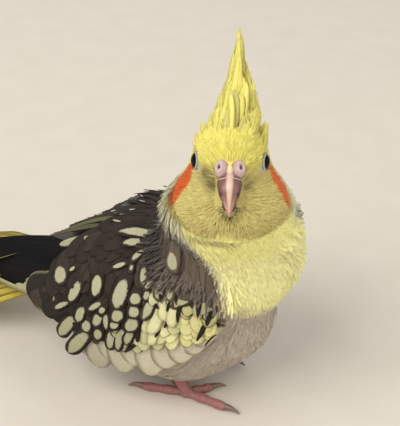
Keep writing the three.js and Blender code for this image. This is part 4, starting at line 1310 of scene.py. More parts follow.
def make_primaries(side, name):
    """Long feathers from the arm's rear, inwards over the tail's root, where the wings' tips cross.
    The left wing's tip lies under the right one's."""
    p = PRIMARIES
    count, number = p["count"], np.arange(p["count"])
    share = evenly(count)
    share[-1] += p["last_out"] / count
    fall = p["under"] if side > 0 else 0.0
    above = p["low"] + p["step"] * (count - 1) * (1 - share) - fall
    above[-1] -= p["last_under"]
    spread = lambda key: p[key][0] + (p[key][1] - p[key][0]) * share
    across, step = spread("across"), 0.05
    start = wing_at(side, np.full(count, p["root"]), across, p["height"] - 0.6 * share)
    over = tail_at(spread("pass") - 0.06, side * (spread("pass_side") + fall), above + 1.0)
    end = tail_at(spread("tip"), side * (spread("tip_side") + 2 * fall), above)
    k = crowded(18, 1.25)[None]
    path = bezier([start[:, None], over[:, None], end[:, None]], k)
    below, beside = (wing_at(side, np.full(count, p["root"]), across + apart, 2.0) for apart in (step, -step))
    tip_wide = unit(tail_at(0.3, side * 2, -0.9) - tail_at(0.3, 0, 0))
    ahead = unit(np.gradient(path, axis=1))
    wide = blend(unit(below - beside)[:, None], tip_wide, np.minimum(1, 1.3 * k))
    wide = unit(wide - ahead * (wide * ahead).sum(-1, keepdims=True))
    up = unit(np.cross(ahead, wide))
    up *= np.sign(up[..., 2:])
    half = vane_width(k, p["width"], tip=0.1, shoulder=0.55) * np.ones((count, 1))
    points = ribs(path, wide, up, half, SIDES * side, bow=1 / p["width"])
    ground = blend(INK, SLATE, 0.1 * share)
    edge_green = PEARL_GREEN * 0.6
    if side < 0:
        last = number == count - 1
        ground, strong = blend(ground, PEARL, 0.85 * last), 1.0 * last
    else:
        ground, strong = blend(ground, edge_green, 0.6 * (number % 3 == 1)), 0.55 + 0 * share
    rim = abreast(0.12 + 0.1 * (side > 0), strong)
    add_wing(name, side, points, 0.02 + 0 * share, 0.05 + 0.9 * share, ground, blend(PEARL, LEMON, 0.2),
             NO_MARK, rim, patch=(0.03, 0.03), barbs=1400)


# shares that the arm covers, its rings and points of half a ring, and how it lies under the coverts
ARM = {"across": (0.01, 0.99), "along": (-0.02, 0.66), "rings": 26, "half_ring": 16, "under": 0.9,
       "floor": 0.5}


def make_arm(side, name, replaced):
    """The arm: a slab over the body between shoulder and mid wing, as rings across the wing's lines."""
    a = ARM
    across = np.linspace(*a["across"], a["rings"])[:, None]
    first, last = a["along"]
    grid = np.linspace(first, last, 69)
    place, angle, _ = np.moveaxis(wing_place(grid[None], across), -1, 0)
    edge = np.interp(angle, REAR_EDGE[:, 1], REAR_EDGE[:, 0])
    kept = np.logical_and.accumulate(place > edge - 0.05, axis=1)
    limit = np.maximum(0.05, (grid * kept).max(1))[:, None]
    go = evenly(a["half_ring"])
    along = first + (limit - first) * np.concatenate([go, go[::-1]])
    top = np.arange(len(go) * 2)[None] < len(go)
    height = np.where(top, surface_height(along, across) - a["under"], a["floor"])
    rows = wing_at(side, along, across, height)
    points = rows[None] if side < 0 else rows[None][:, ::-1]
    at = bake_places(side, *np.broadcast_arrays(along, across))[None]
    add_tubes(name, points, DOWN, replaced, SLATE * 0.8,
              {"OFBake": at, "Vane": no_vane(points)})


# rows of feathers, the first row's place and the step to the next, degrees between columns, and sizes
MANTLE = {"rows": 13, "columns": 7, "first": 5.6, "step": 0.33, "apart": 4.2, "length": 13.0,
          "width": 7.2, "marked": 0.22}


def make_mantle():
    """Feathers down the middle of the back, over the inner edges of both wings."""
    draw = seeded(25)
    m = MANTLE
    rows, columns = m["rows"], m["columns"]
    count = rows * columns
    row, column = np.repeat(np.arange(rows), columns), np.tile(np.arange(columns) - columns // 2, rows)
    place = m["first"] - m["step"] * row + 0.05 * draw.standard_normal(count)
    turn = (column + 0.5 * (row % 2)) * m["apart"] + 0.6 * draw.standard_normal(count)
    share = crowded(9)[None]
    span = look(wing_table, place, np.radians(turn))[2]
    t = place[:, None] - m["length"] * share / span[:, :1]
    centre = np.radians(turn)[:, None] * (1 + 0.25 * share)
    half = vane_width(share, np.full((count, 1), m["width"]), shoulder=0.5)
    angle = centre[..., None] + half[..., None] * SIDES / np.maximum(span[:, None, 1:], 6.0)
    points, normals, _ = look(wing_table, np.broadcast_to(t[..., None], angle.shape), angle)
    height = (1.0 + 1.4 * share - 0.02 * np.abs(turn)[:, None])[..., None]
    height = height + 0.25 * (1 - SIDES**2) + 0.3 * SIDES * half[..., None] / 4
    points = points + normals * height[..., None]
    ground = blend(blend(SLATE, BACK, 0.5), SHOULDER, 0.5 * ease(place, 5.0, 5.6))
    ground = ground * varied(draw, count, 0.12)[:, None]
    has = draw.random(count) < m["marked"]
    mark = abreast(0.2 * has, 0.13 * has, 0.8)
    at = abreast(0.485 + turn / 700, 0.04 + 0.14 * place)
    add_firm("mantle", points[:, :, ::-1], ground, blend(PEARL, WHITE_DOWN, 0.3), mark,
             (0.44, 0), at, patch=(0.008, 0.014))


make_mantle()
for side, hand in HANDS:
    make_arm(side, "wing_arm_" + hand, ("wing_" + hand,))
    make_upper_coverts(side, "coverts_upper_" + hand)
    make_large_pearls(side, "pearls_" + hand)
    make_streaks(side, "streaks_" + hand)
    make_rear_shells(side, "rear_shells_" + hand)
    if side < 0:
        make_tertials(side, "tertials_" + hand)
    make_small_coverts(side, "coverts_small_" + hand)
    make_secondaries(side, "secondaries_" + hand)
    make_primaries(side, "primaries_" + hand)

# %% [markdown]
# ## Tail
# Twelve long feathers in pairs, the middle pair longest and on top, each next pair a step lower and
# shorter. Small coverts hide their roots above and below.

# %% Tail feathers
TAIL = {"reach": (1, 0.93, 0.8, 0.7, 0.62, 0.55), "half": (6.4, 9, 11, 12.4, 13.4, 14),
        "fan": (0, 0.02, 0.045, 0.075, 0.105, 0.14), "length": 157, "step": 0.9, "arch": 0.017,
        "root": 0.06, "lowest": 0.4}
# how the right and the left half of the tail differ in breadth, spread, drop and roll
TAIL_HALVES = {-1: {"half": 0.55, "fan": 0.1, "open": 1.0, "apart": 1.2, "drop": 1.0, "roll": 0.3},
               1: {"half": 1.0, "fan": 1.0, "open": 1.3, "apart": 0.0, "drop": 0.35, "roll": 0.2}}


def make_tail():
    """Vanes whose inner edge lies by the middle line and whose outer edge fans out and droops."""
    points, outer = [], []
    k = crowded(26, 1.3)
    for pair, (reach, full, fan) in enumerate(zip(TAIL["reach"], TAIL["half"], TAIL["fan"])):
        for side, hand in TAIL_HALVES.items():
            behind_root = (reach - TAIL["root"]) * k
            share = TAIL["root"] + behind_root
            half = vane_width(k, full * hand["half"], tip=0.1, shoulder=0.5 if pair < 2 else 0.75)
            spread = fan * TAIL["length"] * behind_root * hand["fan"]
            out = 0.15 + (half[:, None] * (1 + SIDES) + spread[:, None]) * hand["open"] + hand["apart"] * pair
            drop = (-TAIL["step"] * pair - TAIL["arch"] * out * out) * hand["drop"]
            rolled = hand["roll"] * ease(share, -0.06, 0.04) * (1 - ease(share, 0.25, 0.8))
            bow = 0.35 * (1 - SIDES**2)
            vane = tail_at(share[:, None], side * out, drop + side * out * rolled[:, None] + bow)
            vane[..., 2] = np.maximum(vane[..., 2], TAIL["lowest"] + 0.25 * bow)
            points.append(vane)
            outer.append(pair / 5)
    outer = np.array(outer)
    ground = blend(TAIL_GREY, TAIL_YELLOW, ease(outer, 0.3, 0.7))
    pearl = blend(PEARL, TAIL_YELLOW, ease(outer, 0.0, 0.5))
    at = abreast(0.04 + 0.08 * np.arange(len(points)), 0.5)
    add_firm("tail_feathers", np.stack(points), ground, pearl, NO_MARK, (0.3, 0.8), at,
             patch=(0.05, 0.8), replaced=("tail",), barbs=2200)


def tail_coverts(name, count, middle, turned, rows, wide, high, ground, seed):
    """Blades over or under the root of the tail, in rows that close round it. They turn by so many
    degrees to both sides of their middle, and stand wide and high of the tail's line."""
    draw = seeded(seed)
    row = draw.random(count)
    turn = (draw.random(count) * 2 - 1) * turned
    angle = np.radians(middle + turn)
    start = -0.02 + rows * row
    length = 0.05 + 0.04 * draw.random(count)
    k = evenly(5)
    along = start[:, None] + length[:, None] * k
    high = high * (1 - ease(along, -0.02, 0.3)) + 1.0
    rise = 0.7 * k[None] + 0.5
    centre = lambda a: tail_at(along, (wide + rise) * np.sin(a), (high + rise) * np.cos(a) - 6.0 * along)
    path = centre(angle[:, None])
    beside = centre(angle[:, None] + 0.1)
    aside = unit(beside - path)
    ahead = unit(np.gradient(path, axis=1))
    up = unit(np.cross(aside, ahead))
    half = 1.9 * blade(k, 0.2)[None] * varied(draw, count, 0.15)[:, None]
    points = ribs(path, aside, up, half, BLADE_SIDES, bow=0.25)
    shade = varied(draw, count, 0.14)[:, None]
    at = abreast(0.5 + turn / 400, 0.02 + 0.04 * row)
    add_blades(name, points, (ground * shade)[:, None, None], at)


make_tail()
tail_coverts("tail_coverts_upper", count=420, middle=0, turned=78, rows=0.07, wide=8.0, high=5.0,
             ground=blend(INK, SLATE, 0.4), seed=31)
tail_coverts("tail_coverts_under", count=420, middle=180, turned=88, rows=0.16, wide=9.6, high=8.2,
             ground=blend(NAPE, TAIL_YELLOW, 0.6), seed=32)

# %% [markdown]
# ## Crest
# The raised crest is a cone of lemon feathers with the two longest in the middle. The longer ones
# stand in rows across the crown, and shorter ones lie against their feet.

# %% Crest feathers
# rows from front to back: feathers, forward, up, reach, lean in degrees, and half the row's span
CREST_ROWS = (
    (9, 9.8, 9.4, 0.34, 12, 0.42), (10, 8.6, 10.6, 0.46, 13, 0.5), (12, 7.2, 11.6, 0.6, 15, 0.6),
    (13, 5.8, 12.4, 0.74, 17, 0.72), (15, 4.4, 13.0, 0.87, 19, 0.84),
    (16, 3.0, 13.4, 0.96, 21, 1.0), (16, 1.4, 13.6, 1.0, 23, 1.0), (14, -0.4, 13.7, 0.9, 26, 1.0),
    (12, -2.4, 13.5, 0.74, 30, 1.0), (9, -4.6, 13.0, 0.6, 36, 0.85), (8, -6.8, 12.0, 0.5, 44, 0.7),
)
CREST = {"root_side": 10.4, "reach": (11.9, 11.8), "width": 5.2, "sink": 3.0, "turn": 55.0, "twist": 24.0}
# height, middle and half width of the crest's outline
CREST_OUTLINE = np.array([
    [10, 0.5, 13.2], [12.3, 0.6, 12.9], [15.5, 0.7, 12.2], [18.7, 1.1, 11.0], [21, 1.2, 9.2],
    [23, 1.4, 8.0], [25.2, 1.9, 6.8], [28.4, 2.2, 5.8], [31.6, 2.1, 4.6], [34.2, 2.2, 3.1],
    [36, 2.3, 2.2], [41, 2.2, 1.6], [45, 2.1, 1.2], [48, 2.0, 0.8], [50, 2.0, 0.5],
])
# the tip's height for each share from the middle out
CREST_TIPS = np.array([50.0, 48.0, 39.0, 36.2, 33.8, 30.2, 26.2, 23.2, 20.6, 17.6, 14.6])


def crest_lines():
    """Paths, widths and facing of the crest: each tip's height and side come from the outline's tables."""
    draw = seeded(41)
    c = CREST
    spots = []
    for count, forward, up, reach, lean, span in CREST_ROWS:
        for across in np.linspace(-span, span, count):
            spots.append([forward, up, reach, lean, across + 0.04 * draw.standard_normal()])
    forward, up, reach, lean, across = np.array(spots).T[:, :, None]
    count = len(spots)
    outer = np.minimum(1, np.abs(across))
    full = np.interp(outer, evenly(len(CREST_TIPS)), CREST_TIPS)
    stretch = 1 + 0.04 * draw.standard_normal((count, 1)).clip(-1.5, 0.8)
    rise = np.maximum(4, (full - up) * reach * stretch)
    level, middle, half_width = CREST_OUTLINE.T
    wide_full, wide_here = np.interp(full, level, half_width), np.interp(up + rise, level, half_width)
    edge = np.minimum(wide_here, wide_full + 0.35 * (wide_here - wide_full))
    edge = edge * (0.88 + 0.3 * ease(-full, -28, -20) - 0.2 * ease(-full, -19, -15))
    tip_side = np.interp(up + rise, level, middle) + np.sign(across) * edge * np.minimum(1, outer / 0.12)
    tip_side = (tip_side - 1.9 * ease(-across, 0.4, 0.75)).clip(-c["reach"][0], c["reach"][1])
    k = crowded(11, 1.15)[None]
    sink = c["sink"] * (1 - 0.6 * ease(outer, 0.75, 1))
    run = (rise + sink) * k - sink
    lean = np.radians(lean + 3 * draw.standard_normal((count, 1)))
    back = run * np.tan(lean) * (0.7 + 0.3 * k)
    root_side = c["root_side"] * across - 0.6 * ease(-across, 0.5, 1)
    side = root_side + (tip_side - root_side) * (0.35 * k + 0.65 * ease(k, 0.0, 1.1))
    side = side + 0.35 * np.sin(k * 2.6) * draw.standard_normal((count, 1))
    low = 2.4 * ease(-rise, -15, -7) * ease(-across, 0.35, 0.6)
    path = on_head(forward - back, side, up - 5.5 * outer**2 + run - low)
    front = unit(HEAD[0] * np.cos(lean)[..., None] + HEAD[2] * np.sin(lean)[..., None])
    turn = np.radians(c["turn"] * across + c["twist"] * draw.standard_normal((count, 1)))[..., None]
    wide = HEAD[1] * np.cos(turn) - front * np.sin(turn)
    face = front * np.cos(turn) + HEAD[1] * np.sin(turn)
    long = ease(rise, 14, 26)
    short_half = vane_width(k, c["width"], tip=0.06, shoulder=0.5)
    half = short_half * (1 - long) + vane_width(k, c["width"] * 0.86, tip=0.05, shoulder=0.25) * long
    half = half * (1 - 0.36 * outer**2) * (1 + 0.1 * draw.standard_normal((count, 1)))
    half = half * (1 - 0.25 * ease(rise, 24, 36)) * (0.32 + 0.68 * ease(rise, 4, 16))
    return path, wide, face, half, across[:, 0], rise[:, 0], draw


def crest_map(across, rise):
    """Places of the crest's feathers on the piece's own map."""
    return abreast(0.5 + 0.45 * across, 0.93 + 0.0012 * rise)


def make_crest():
    """The feathers of the crest, lemon with some grey streaks in the middle and on its left side."""
    path, wide, face, half, across, rise, draw = crest_lines()
    count = len(across)
    points = ribs(path, -wide, face, half, SIDES, bow=0.22)
    shade = varied(draw, count, 0.06)[:, None]
    streak = (draw.random(count) < 0.34) * (across > -0.1) * (across < 0.72) * (rise > 6) * (rise < 25)
    ground = blend(CREST_LEMON * shade, STREAK, 0.55 * streak)
    add_firm("crest", points, ground, CREST_LEMON, NO_MARK, (0.2, 0.9),
             crest_map(across, rise), patch=(0.01, 0.01))


def make_crest_barbs():
    """Loose thin barbs along the edges of the crest's feathers, more on its left, where it is frayed."""
    path, wide, face, half, across, rise, draw = crest_lines()
    count = 1100
    frayed = ease(across, 0.2, 0.4) * (1 - ease(across, 0.55, 0.75)) * (rise > 8)
    weight = 0.1 * (np.abs(across) < 0.5) + 1.6 * frayed
    pick = draw.choice(len(across), count, p=weight / weight.sum())
    at = draw.uniform(0.25, 0.97, count) * (path.shape[1] - 1)
    i = at.astype(int)
    k = (at - i)[:, None]
    start = path[pick, i] * (1 - k) + path[pick, i + 1] * k
    ahead = unit(path[pick, i + 1] - path[pick, i])
    hand = np.where(draw.random(count) < 0.3 + 0.4 * (across[pick] > 0), -1.0, 1.0)
    width = half[pick, i] * (1 - k[:, 0]) + half[pick, i + 1] * k[:, 0]
    out = -wide[pick, 0] * hand[:, None]
    spread = np.radians(draw.uniform(8, 18, count) * (1 + (across[pick] > 0.25)))[:, None]
    way = unit(ahead * np.cos(spread) + out * np.sin(spread) + 0.1 * draw.standard_normal((count, 3)))
    share = evenly(4)
    length = draw.uniform(1.6, 3.2, count)
    run = length[:, None, None] * share[:, None]
    line = start[:, None] + out[:, None] * (0.5 * width)[:, None, None]
    line = line + (way[:, None] - 0.15 * out[:, None] * share[:, None]) * run
    thin = 0.17 * np.array([1, 0.9, 0.6, 0.12])
    up = face[pick, 0][:, None, None]
    flatly = unit(np.cross(way[:, None, None], up))
    points = line[:, :, None] + flatly * (thin[:, None] * BLADE_SIDES)[None, ..., None]
    points = points + up * (0.06 * (1 - BLADE_SIDES**2))[None, None, :, None]
    tone = np.where((draw.random(count) < 0.12)[:, None], blend(STREAK, CREST_LEMON, 0.4), CREST_LEMON * 1.05)
    add_blades("crest_barbs", points, tone[:, None, None],
               crest_map(across[pick], rise[pick]))


make_crest()
make_crest_barbs()

# %% [markdown]
# ## Bill, cere and eyes
# The bill is horn: smooth and a little waxy, with painted light along its ridge and painted shade
# on its sides. It is a run of sections between an upper and a lower curve. The cere is the soft skin
# over it, two lobes with a nostril in each.

# %% Finishes of horn, skin and eye
def tone_material(name, roughness, scale, spread, bump, **settings):
    """A colour attribute, mottled by noise at a scale, with a fine bump: for horn and bare skin."""
    material, tree, shader = new_material(name, roughness)
    for key, value in settings.items():
        shader.inputs[key.replace("_", " ")].default_value = value
    noise = speckle(tree, scale, detail=5.0)
    shade = maths(tree, "MULTIPLY_ADD", noise, spread, 1 - spread / 2)
    finish_surface(tree, shader, attribute(tree, "Plumage"), shade, noise, bump, depth=0.0003)
    return material


# roughness, spots to a metre, how much they vary, and bump
HORN = tone_material("horn", 0.36, 350.0, 0.5, 0.25, Coat_Weight=0.15, Subsurface_Weight=0.08)
SKIN = tone_material("bare_skin", 0.55, 700.0, 0.45, 0.6, Subsurface_Weight=0.1)
CLAW = tone_material("claw_horn", 0.4, 500.0, 0.6, 0.3, Coat_Weight=0.2)
EYE_GLOSS = tone_material("eye_gloss", 0.08, 300.0, 0.5, 0.01, IOR=1.22)
BILL_PINK = tint("CFA08F")
# painted light and shade of the bill: a lit ridge, shaded sides, and dark shade towards the bite and under it
BILL_LIT_RIDGE = tint("DDBBA8")
BILL_SHADED_SIDE = tint("7C554E")
BILL_DARK_SHADE = tint("55362F")
CERE_RIM = tint("DCC3BC")
CERE_PINK = tint("C2A09C")
FOOT_PINK = tint("9E6762")
CLAW_GREY = tint("7A5F58")


# %% Bill
def mandible(upper, lower, half_width, ridge, rings=48, sides=40):
    """Sections from an upper to a lower curve: side = half width x sine of the angle ^ ridge."""
    k = evenly(rings) ** 0.9
    top, bottom = bezier(upper, k), bezier(lower, k)
    half = np.interp(k, BILL_SHARE, half_width)
    angle = np.arange(sides) * TURN / sides
    drop = ((1 - np.cos(angle)) / 2)[None, :, None]
    point = top[:, None] * (1 - drop) + bottom[:, None] * drop
    wave = np.sin(angle)
    side = half[:, None] * np.sign(wave) * np.abs(wave) ** ridge
    drop = np.broadcast_to(drop[None, ..., 0], (1, rings, sides))
    return on_head(point[..., 0], side, point[..., 1])[None], drop, k


BILL_BASE = BILL_SEAT + 0.3
BILL_SHARE = (0, 0.25, 0.4, 0.5, 0.6, 0.7, 0.8, 0.9, 1)
UPPER_HALF = (3.9, 3.8, 3.6, 3.4, 3.05, 2.4, 1.65, 0.95, 0.2)
LOWER_HALF = (2.3, 2.3, 2.2, 2.1, 2.0, 1.8, 1.5, 1.0, 0.3)
RIDGE_LINE = ([BILL_BASE, 2.6], [19.5, 4.2], [23.4, -3.4], [17.6, -10.6])
BITE_LINE = ([BILL_BASE, -3.9], [16.5, -3.4], [18.9, -4.8], [17.1, -10])
LOWER_BITE = ([BILL_BASE, -4.5], [15, -4.5], [16.5, -5.4], [16.7, -7])
UNDER_LINE = ([BILL_BASE, -9.3], [15.2, -9.4], [16.2, -8.8], [16.6, -7.4])
# where along the bill lies the painted shadow of the gap between the mandibles
GAP_SHADOW_AT = 0.6


def make_bill():
    """Both mandibles, with painted light and shade: a lit pale ridge between shaded mauve sides, darker
    still towards the bite, and a painted shadow in the gap at each edge.
    """
    points, drop, k = mandible(RIDGE_LINE, BITE_LINE, UPPER_HALF, ridge=1.25)
    k = k[None, :, None]
    # painted light on the ridge, painted shade down the sides
    colours = blend(BILL_LIT_RIDGE, BILL_PINK, ease(drop, 0.01, 0.03))
    colours = blend(colours, BILL_SHADED_SIDE, ease(drop, 0.028, 0.05) * (1 - 0.75 * ease(k, 0.6, 0.9)))
    colours = blend(colours, BILL_DARK_SHADE, ease(drop, 0.16, 0.42) * (1 - 0.6 * ease(k, 0.62, 0.9)))
    colours = blend(colours, CERE_PINK * 1.1, 1 - ease(k + 0.1 * drop, 0.02, 0.07))
    # painted shadow in the dark gap at each edge where the mandibles part
    gap_shadow = np.exp(-((k - GAP_SHADOW_AT) / 0.035) ** 2) * ease(drop, 0.12, 0.3)
    colours = blend(colours, INK, 0.9 * gap_shadow)
    add_tubes("bill_top", points, HORN, ("bill_upper",), colours)
    points, _, _ = mandible(LOWER_BITE, UNDER_LINE, LOWER_HALF, ridge=0.8, rings=20, sides=24)
    # painted shade: the lower mandible, under the upper one, is all in the dark shade tone
    add_tubes("bill_under", points, HORN, ("bill_lower",), BILL_DARK_SHADE)


def directions(polar, turn):
    """Unit directions: cosine of polar, and its sine x the cosine and x the sine of the turn."""
    return abreast(np.cos(polar), np.sin(polar) * np.cos(turn), np.sin(polar) * np.sin(turn))


def ball_rings(rings, sides):
    """Unit directions of a ball as rings from pole to pole, with tiny end rings."""
    pole = 0.03
    polar = np.linspace(pole, math.pi - pole, rings)[:, None]
    return directions(polar, np.arange(sides)[None] * TURN / sides)


def make_cere():
    """Two eggs beside the bill's root. Each has a dent, with a raised rim, where its nostril is, and
    below it some fine folds. The nostril's hole is painted shade, and each lobe takes painted shade where
    it turns in to the bill and the face. A pale fold closes the gap between them."""
    way = ball_rings(64, 80)
    lobes, colours = [], []
    for side in (-1, 1):
        nostril = unit(np.array([0.80, side * 0.46, 0.36]))
        off = np.arccos(np.clip(way @ nostril, -1, 1))
        dent = -0.45 * np.exp(-(off / 0.23) ** 2) + 0.08 * np.exp(-((off - 0.5) / 0.13) ** 2)
        fold = 0.022 * np.sin(9 * off) * ease(-way[..., 2], -0.1, 0.5)
        shape = way * (1 + dent + fold)[..., None] * np.array([2.8, 2.25, 3.2])
        forward, left, up = np.moveaxis(shape + (BILL_BASE + 0.9, side * 2.55, 3.7), -1, 0)
        lobes.append(on_head(forward, left, up))
        tone = blend(CERE_PINK, CERE_RIM, 0.5 * np.exp(-((off - 0.5) / 0.16) ** 2) + 8 * fold.clip(0, 1))
        # painted shade where the lobe turns in to the bill and the face
        tone = blend(tone, BILL_SHADED_SIDE, 0.6 * ease(off, 1.0, 1.5))
        # painted shade: the nostril's hole is a dark disc
        colours.append(blend(tone, INK, 0.92 * np.exp(-(off / 0.25) ** 4)))
    add_tubes("cere_lobes", np.stack(lobes), SKIN, ("cere",), np.stack(colours))
    k = evenly(24)
    path = on_head(BILL_BASE + 2.4 * np.sin(math.pi * k * 0.8), 0 * k, 5.6 - 4.2 * k)
    bridge = tube_rings(path, 0.8 + 0.35 * np.sin(math.pi * k), 20)
    tone = blend(blend(LEMON, CERE_RIM, 0.35), CERE_RIM, ease(k, 0.3, 0.8))
    add_tubes("cere_bridge", bridge[None], SKIN, (), tone[:, None])
    folds = []
    for side in (-1, 1):
        out = 1.0 + 2.6 * k
        path = on_head(BILL_BASE + 5.5 - 0.2 * out**2, side * out, 2.0 - 0.34 * out)
        folds.append(tube_rings(path, 0.06 + 0.12 * np.sin(math.pi * k), 12))
    folds = np.stack(folds)
    add_tubes("cere_folds", folds, SKIN, (), CERE_RIM)


def make_bristles():
    """Short dark hairs round the sides and the tip of the bill, which point outwards and down."""
    draw = seeded(52)
    count = 52
    turn = np.radians(draw.uniform(-78, 78, count))
    side, up = 2.2 * np.sin(turn), -6.8 - 3.8 * np.cos(turn)
    root = on_head(BILL_BASE + 3.3 - 0.04 * side**2, side, up)
    spread = draw.standard_normal((count, 2)) * 0.22
    way = unit(HEAD[0] * 0.3 + HEAD[1] * (1.0 * np.sin(turn) + spread[:, 0])[:, None]
               - HEAD[2] * (0.5 * np.cos(turn) + spread[:, 1])[:, None])
    share = evenly(5)[None, :, None]
    line = root[:, None] + way[:, None] * share * draw.uniform(1.6, 2.9, count)[:, None, None]
    line = line - HEAD[0] * 0.8 * share**2
    across = unit(np.cross(way, HEAD[0]))[:, None, None]
    lift = unit(np.cross(across, way[:, None, None]))
    thin = (0.07 * (1 - share**2) + 0.015)[..., None]
    corner = (np.arange(4) + 0.5) * TURN / 4
    round_it = across * np.cos(corner)[:, None] + lift * np.sin(corner)[:, None]
    points = line[:, :, None] + round_it * thin
    tone = np.where((draw.random(count) < 0.5)[:, None], SLATE, OLIVE_DEEP * 0.6)
    add_tubes("bristles", points, DOWN, (), tone[:, None, None],
              {"OFBake": np.broadcast_to([0.5, 0.99], points.shape[:3] + (2,)), "Vane": no_vane(points)})


# %% [markdown]
# The eyes are deep and dark, with a small bright glint from the wet surface. A ring of pale bare skin
# frames each one, wrinkled a little.

# %% Eyes
EYE_BLACK = tint("060505")
# the lid's opening in degrees, how oval it is, the band's breadth, its stand-off and its thickness
LID = {"opening": 52.0, "oval": 0.09, "band": 0.12, "off": 0.1, "thick": 0.24}


def make_eye(side, hand):
    """A ball in its socket, and a lid: a band of a slightly larger ball round an oval opening."""
    centre = on_head(EYE["forward"], side * EYE["side"], EYE["up"])
    out = unit(HEAD[1] * side + HEAD[0] * 0.12)
    across = unit(np.cross(HEAD[2], out))
    up = np.cross(out, across)
    rings, sides = 28, 36
    way = ball_rings(rings, sides) @ np.stack([out, across, up])
    ball = centre + way * EYE["radius"]
    hidden = np.broadcast_to(ease(np.linspace(0, math.pi, rings), 1.0, 1.12)[:, None], (rings, sides))
    add_tubes("eyeball_" + hand, ball[None], EYE_GLOSS, ("eye_" + hand,),
              blend(EYE_BLACK, OLIVE, hidden)[None])
    turn = np.linspace(0, TURN, 60, endpoint=False)[:, None]
    section = np.linspace(0, TURN, 10, endpoint=False)[None]
    opening = np.radians(LID["opening"]) + LID["oval"] * np.cos(2 * turn)
    polar = opening + LID["band"] * (1 - np.cos(section)) + 0.006 * np.sin(13 * turn)
    thick = LID["thick"] * np.sin(section) * (1 + 0.1 * np.sin(17 * turn + 2))
    radius = EYE["radius"] + LID["off"] + thick
    ring = directions(polar, turn) * radius[..., None]
    lid = centre + ring @ np.stack([out, across, up])
    lower = ease(-(lid - centre) @ up, -1.2, 0.6)[None]
    add_tubes("eyelid_" + hand, lid[None], SKIN, (),
              blend(LID_GREY * 0.7, LID_GREY, lower), loop=True)


make_bill()
make_cere()
make_bristles()
for side, hand in HANDS:
    make_eye(side, hand)

# %% [markdown]
# ## Feet
# Two toes point ahead and two back. Each toe is a tube of plates: narrow scutes across the top, and
# pads below that rest flat on the floor. Claws curve down from the tips.

# %% Legs, toes and claws
LEG = {"right": 3.0, "left": -6.0, "side": 12.0, "top": 17.0, "lean": -5.0, "ankle": 11.0, "radius": 2.3,
       "joint": 2.4, "knuckle": 2.6}
# number, turn in degrees, length and radius
TOES = ((1, -152, 10, 1.6), (2, -42, 10.5, 1.8), (3, 1, 17.5, 1.9), (4, 164, 18, 1.8))
CLAWS = {"length": 5.4, "radius": 1.25, "tip": 0.12, "arch": 0.7, "drop": 0.9}
SOLE = 1.5
STEPS = 60
# where a toe's round end starts and how long it is, as shares of the toe
TOE_END = {"from": 0.93, "long": 0.071}


def scaled(path, radii, pitch, depth, sides=20):
    """A tube whose radius rises and falls in plates of a pitch in millimetres, more on the upper side."""
    run = np.concatenate([[0], np.cumsum(np.linalg.norm(np.diff(path, axis=0), axis=-1))])
    saw = np.abs(np.sin(math.pi * run / pitch)) ** 0.5
    upper = 0.35 + 0.65 * ease(np.sin(np.arange(sides) * TURN / sides), -0.2, 0.5)
    swell = 1 + depth * (saw[:, None] - 0.6) * upper[None]
    return tube_rings(path, np.asarray(radii)[:, None] * swell, sides)


def make_foot(side, hand):
    """Shank, knuckle and toes in one piece, cut flat by the floor, and its claws."""
    ahead = LEG[hand]
    y = side * LEG["side"]
    shin = ahead + LEG["lean"]
    knots = ((shin, LEG["top"] + 6), (shin, LEG["ankle"]), (shin + 1.5, 7.0), (ahead, LEG["joint"]))
    knee = bezier([[x, y, z] for x, z in knots], evenly(STEPS))
    tubes = [scaled(knee, np.full(STEPS, LEG["radius"]), pitch=1.5, depth=0.09)]
    reach = LEG["knuckle"]
    knuckle = np.linspace([ahead - reach, y, SOLE + 0.4], [ahead + reach, y, SOLE + 0.4], STEPS)
    tubes.append(tube_rings(knuckle, reach * np.sqrt(1 - np.linspace(-0.99, 0.99, STEPS) ** 2), 20))
    claws = []
    k = evenly(STEPS)
    for number, turn, length, radius in TOES:
        way = np.array([math.cos(math.radians(turn)), side * math.sin(math.radians(turn)), 0.0])
        path = np.array([ahead, y, SOLE]) + way * (length * k)[:, None]
        pads = 1 + 0.09 * np.cos(5 * math.pi * k)
        past = (k - TOE_END["from"]).clip(0) / TOE_END["long"]
        radii = radius * (1 - 0.16 * k) * pads * np.sqrt(1 - past**2)
        tubes.append(scaled(path, radii, pitch=1.25, depth=0.12))
        start = path[0] + way * (length - 0.7) + np.array([0, 0, 0.2])
        hook = abreast(0, 0, CLAWS["arch"] * np.sin(math.pi * k) - CLAWS["drop"] * k)
        claw = start + way * ((CLAWS["length"] + 0.9) * k)[:, None] + hook
        claws.append(tube_rings(claw, CLAWS["radius"] * (1 - k) ** 0.7 + CLAWS["tip"], 16))
    points = np.stack(tubes)
    points[..., 2] = np.maximum(points[..., 2], 0)
    draw = seeded(51)
    colours = FOOT_PINK * (1 + 0.05 * draw.standard_normal(points.shape[:2] + (1, 1))) * np.ones(points.shape)
    add_tubes("foot_" + hand, points, SKIN, ("leg_" + hand,), colours)
    names = tuple(f"claw_{number}_{hand}" for number, *_ in TOES)
    shape = np.stack(claws)
    shape[..., 2] = np.maximum(shape[..., 2], 0.02)
    add_tubes("claws_" + hand, shape, CLAW, names, CLAW_GREY)


for side, hand in HANDS:
    make_foot(side, hand)

# %% [markdown]
# ## Size, camera and light
# The camera stands where the photographer stood: before the bird, to its right, and looking down.
# A pale floor and large soft lights keep the plumage's own colours.

# %% Camera
CAMERA = {"at": (124.88, -239.62, 267.82), "azimuth": 27.0, "elevation": 35.0, "lens": 83.7, "sensor": 36.0}


def look_back(azimuth, elevation):
    """The direction from the bird back to the camera."""
    a, e = math.radians(azimuth), math.radians(elevation)
    return Vector((math.sin(a) * math.cos(e), -math.cos(a) * math.cos(e), math.sin(e)))


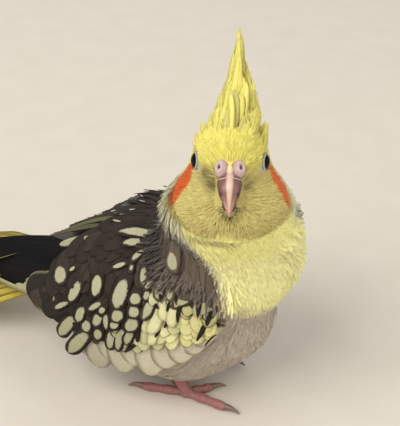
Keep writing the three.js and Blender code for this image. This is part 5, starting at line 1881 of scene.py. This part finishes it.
def stand(name, data, at, way):
    """An object at a place, which faces a way."""
    made = bpy.data.objects.new(name, data)
    made.location = at
    made.rotation_mode = "QUATERNION"
    made.rotation_quaternion = way.to_track_quat("-Z", "Y")
    bpy.context.scene.collection.objects.link(made)
    return made


camera = stand("camera", bpy.data.cameras.new("camera"), Vector((np.array(CAMERA["at"]) + OFFSET) * MM),
               -look_back(CAMERA["azimuth"], CAMERA["elevation"]))
camera.data.sensor_fit = "HORIZONTAL"
camera.data.sensor_width = CAMERA["sensor"]
camera.data.lens = CAMERA["lens"]
camera.data.clip_start, camera.data.clip_end = 0.01, 20
bpy.context.scene.camera = camera

# %% Floor and light
def add_floor():
    """A wide flat square just under the soles, with a faint grain."""
    mesh = bpy.data.meshes.new("floor")
    reach, low = 3.0, -0.0002
    corners = [(-reach, -reach, low), (reach, -reach, low), (reach, reach, low), (-reach, reach, low)]
    mesh.from_pydata(corners, [], [(0, 1, 2, 3)])
    material, tree, shader = new_material("floor_finish", 0.9)
    grain = speckle(tree, scale=60.0, detail=4.0)
    pale = mix_colour(tree, "MIX", grain, (*tint("CFC6B8"), 1.0), (*tint("D8D0C3"), 1.0))
    tree.links.new(pale, shader.inputs["Base Color"])
    mesh.materials.append(material)
    floor = bpy.data.objects.new("floor", mesh)
    bpy.context.scene.collection.objects.link(floor)


BREAST = (0.08, 0.0, 0.06)


def add_light(name, place, size, power, warmth):
    """A large square lamp that faces the bird's breast, power in watts."""
    lamp = bpy.data.lights.new(name, "AREA")
    lamp.size, lamp.energy, lamp.color = size, power, warmth
    stand(name, lamp, place, Vector(BREAST) - Vector(place))


add_floor()
# place, size, watts and colour of each lamp
for lamp in (
    ("window", (-0.25, -0.75, 1.1), 0.9, 14.5, (1.0, 0.98, 0.95)),
    ("room", (1.0, -0.2, 0.9), 1.2, 6.2, (1.0, 0.97, 0.93)),
    ("back", (-0.6, 1.0, 1.0), 1.2, 6.0, (0.95, 0.97, 1.0)),
):
    add_light(*lamp)
SKY_COLOUR, SKY_STRENGTH = (0.80, 0.79, 0.77, 1), 0.5
world = bpy.data.worlds.new("soft_sky")
world.use_nodes = True
sky = world.node_tree.nodes["Background"].inputs
sky["Color"].default_value, sky["Strength"].default_value = SKY_COLOUR, SKY_STRENGTH
bpy.context.scene.world = world
bpy.context.scene.view_settings.view_transform = "Standard"
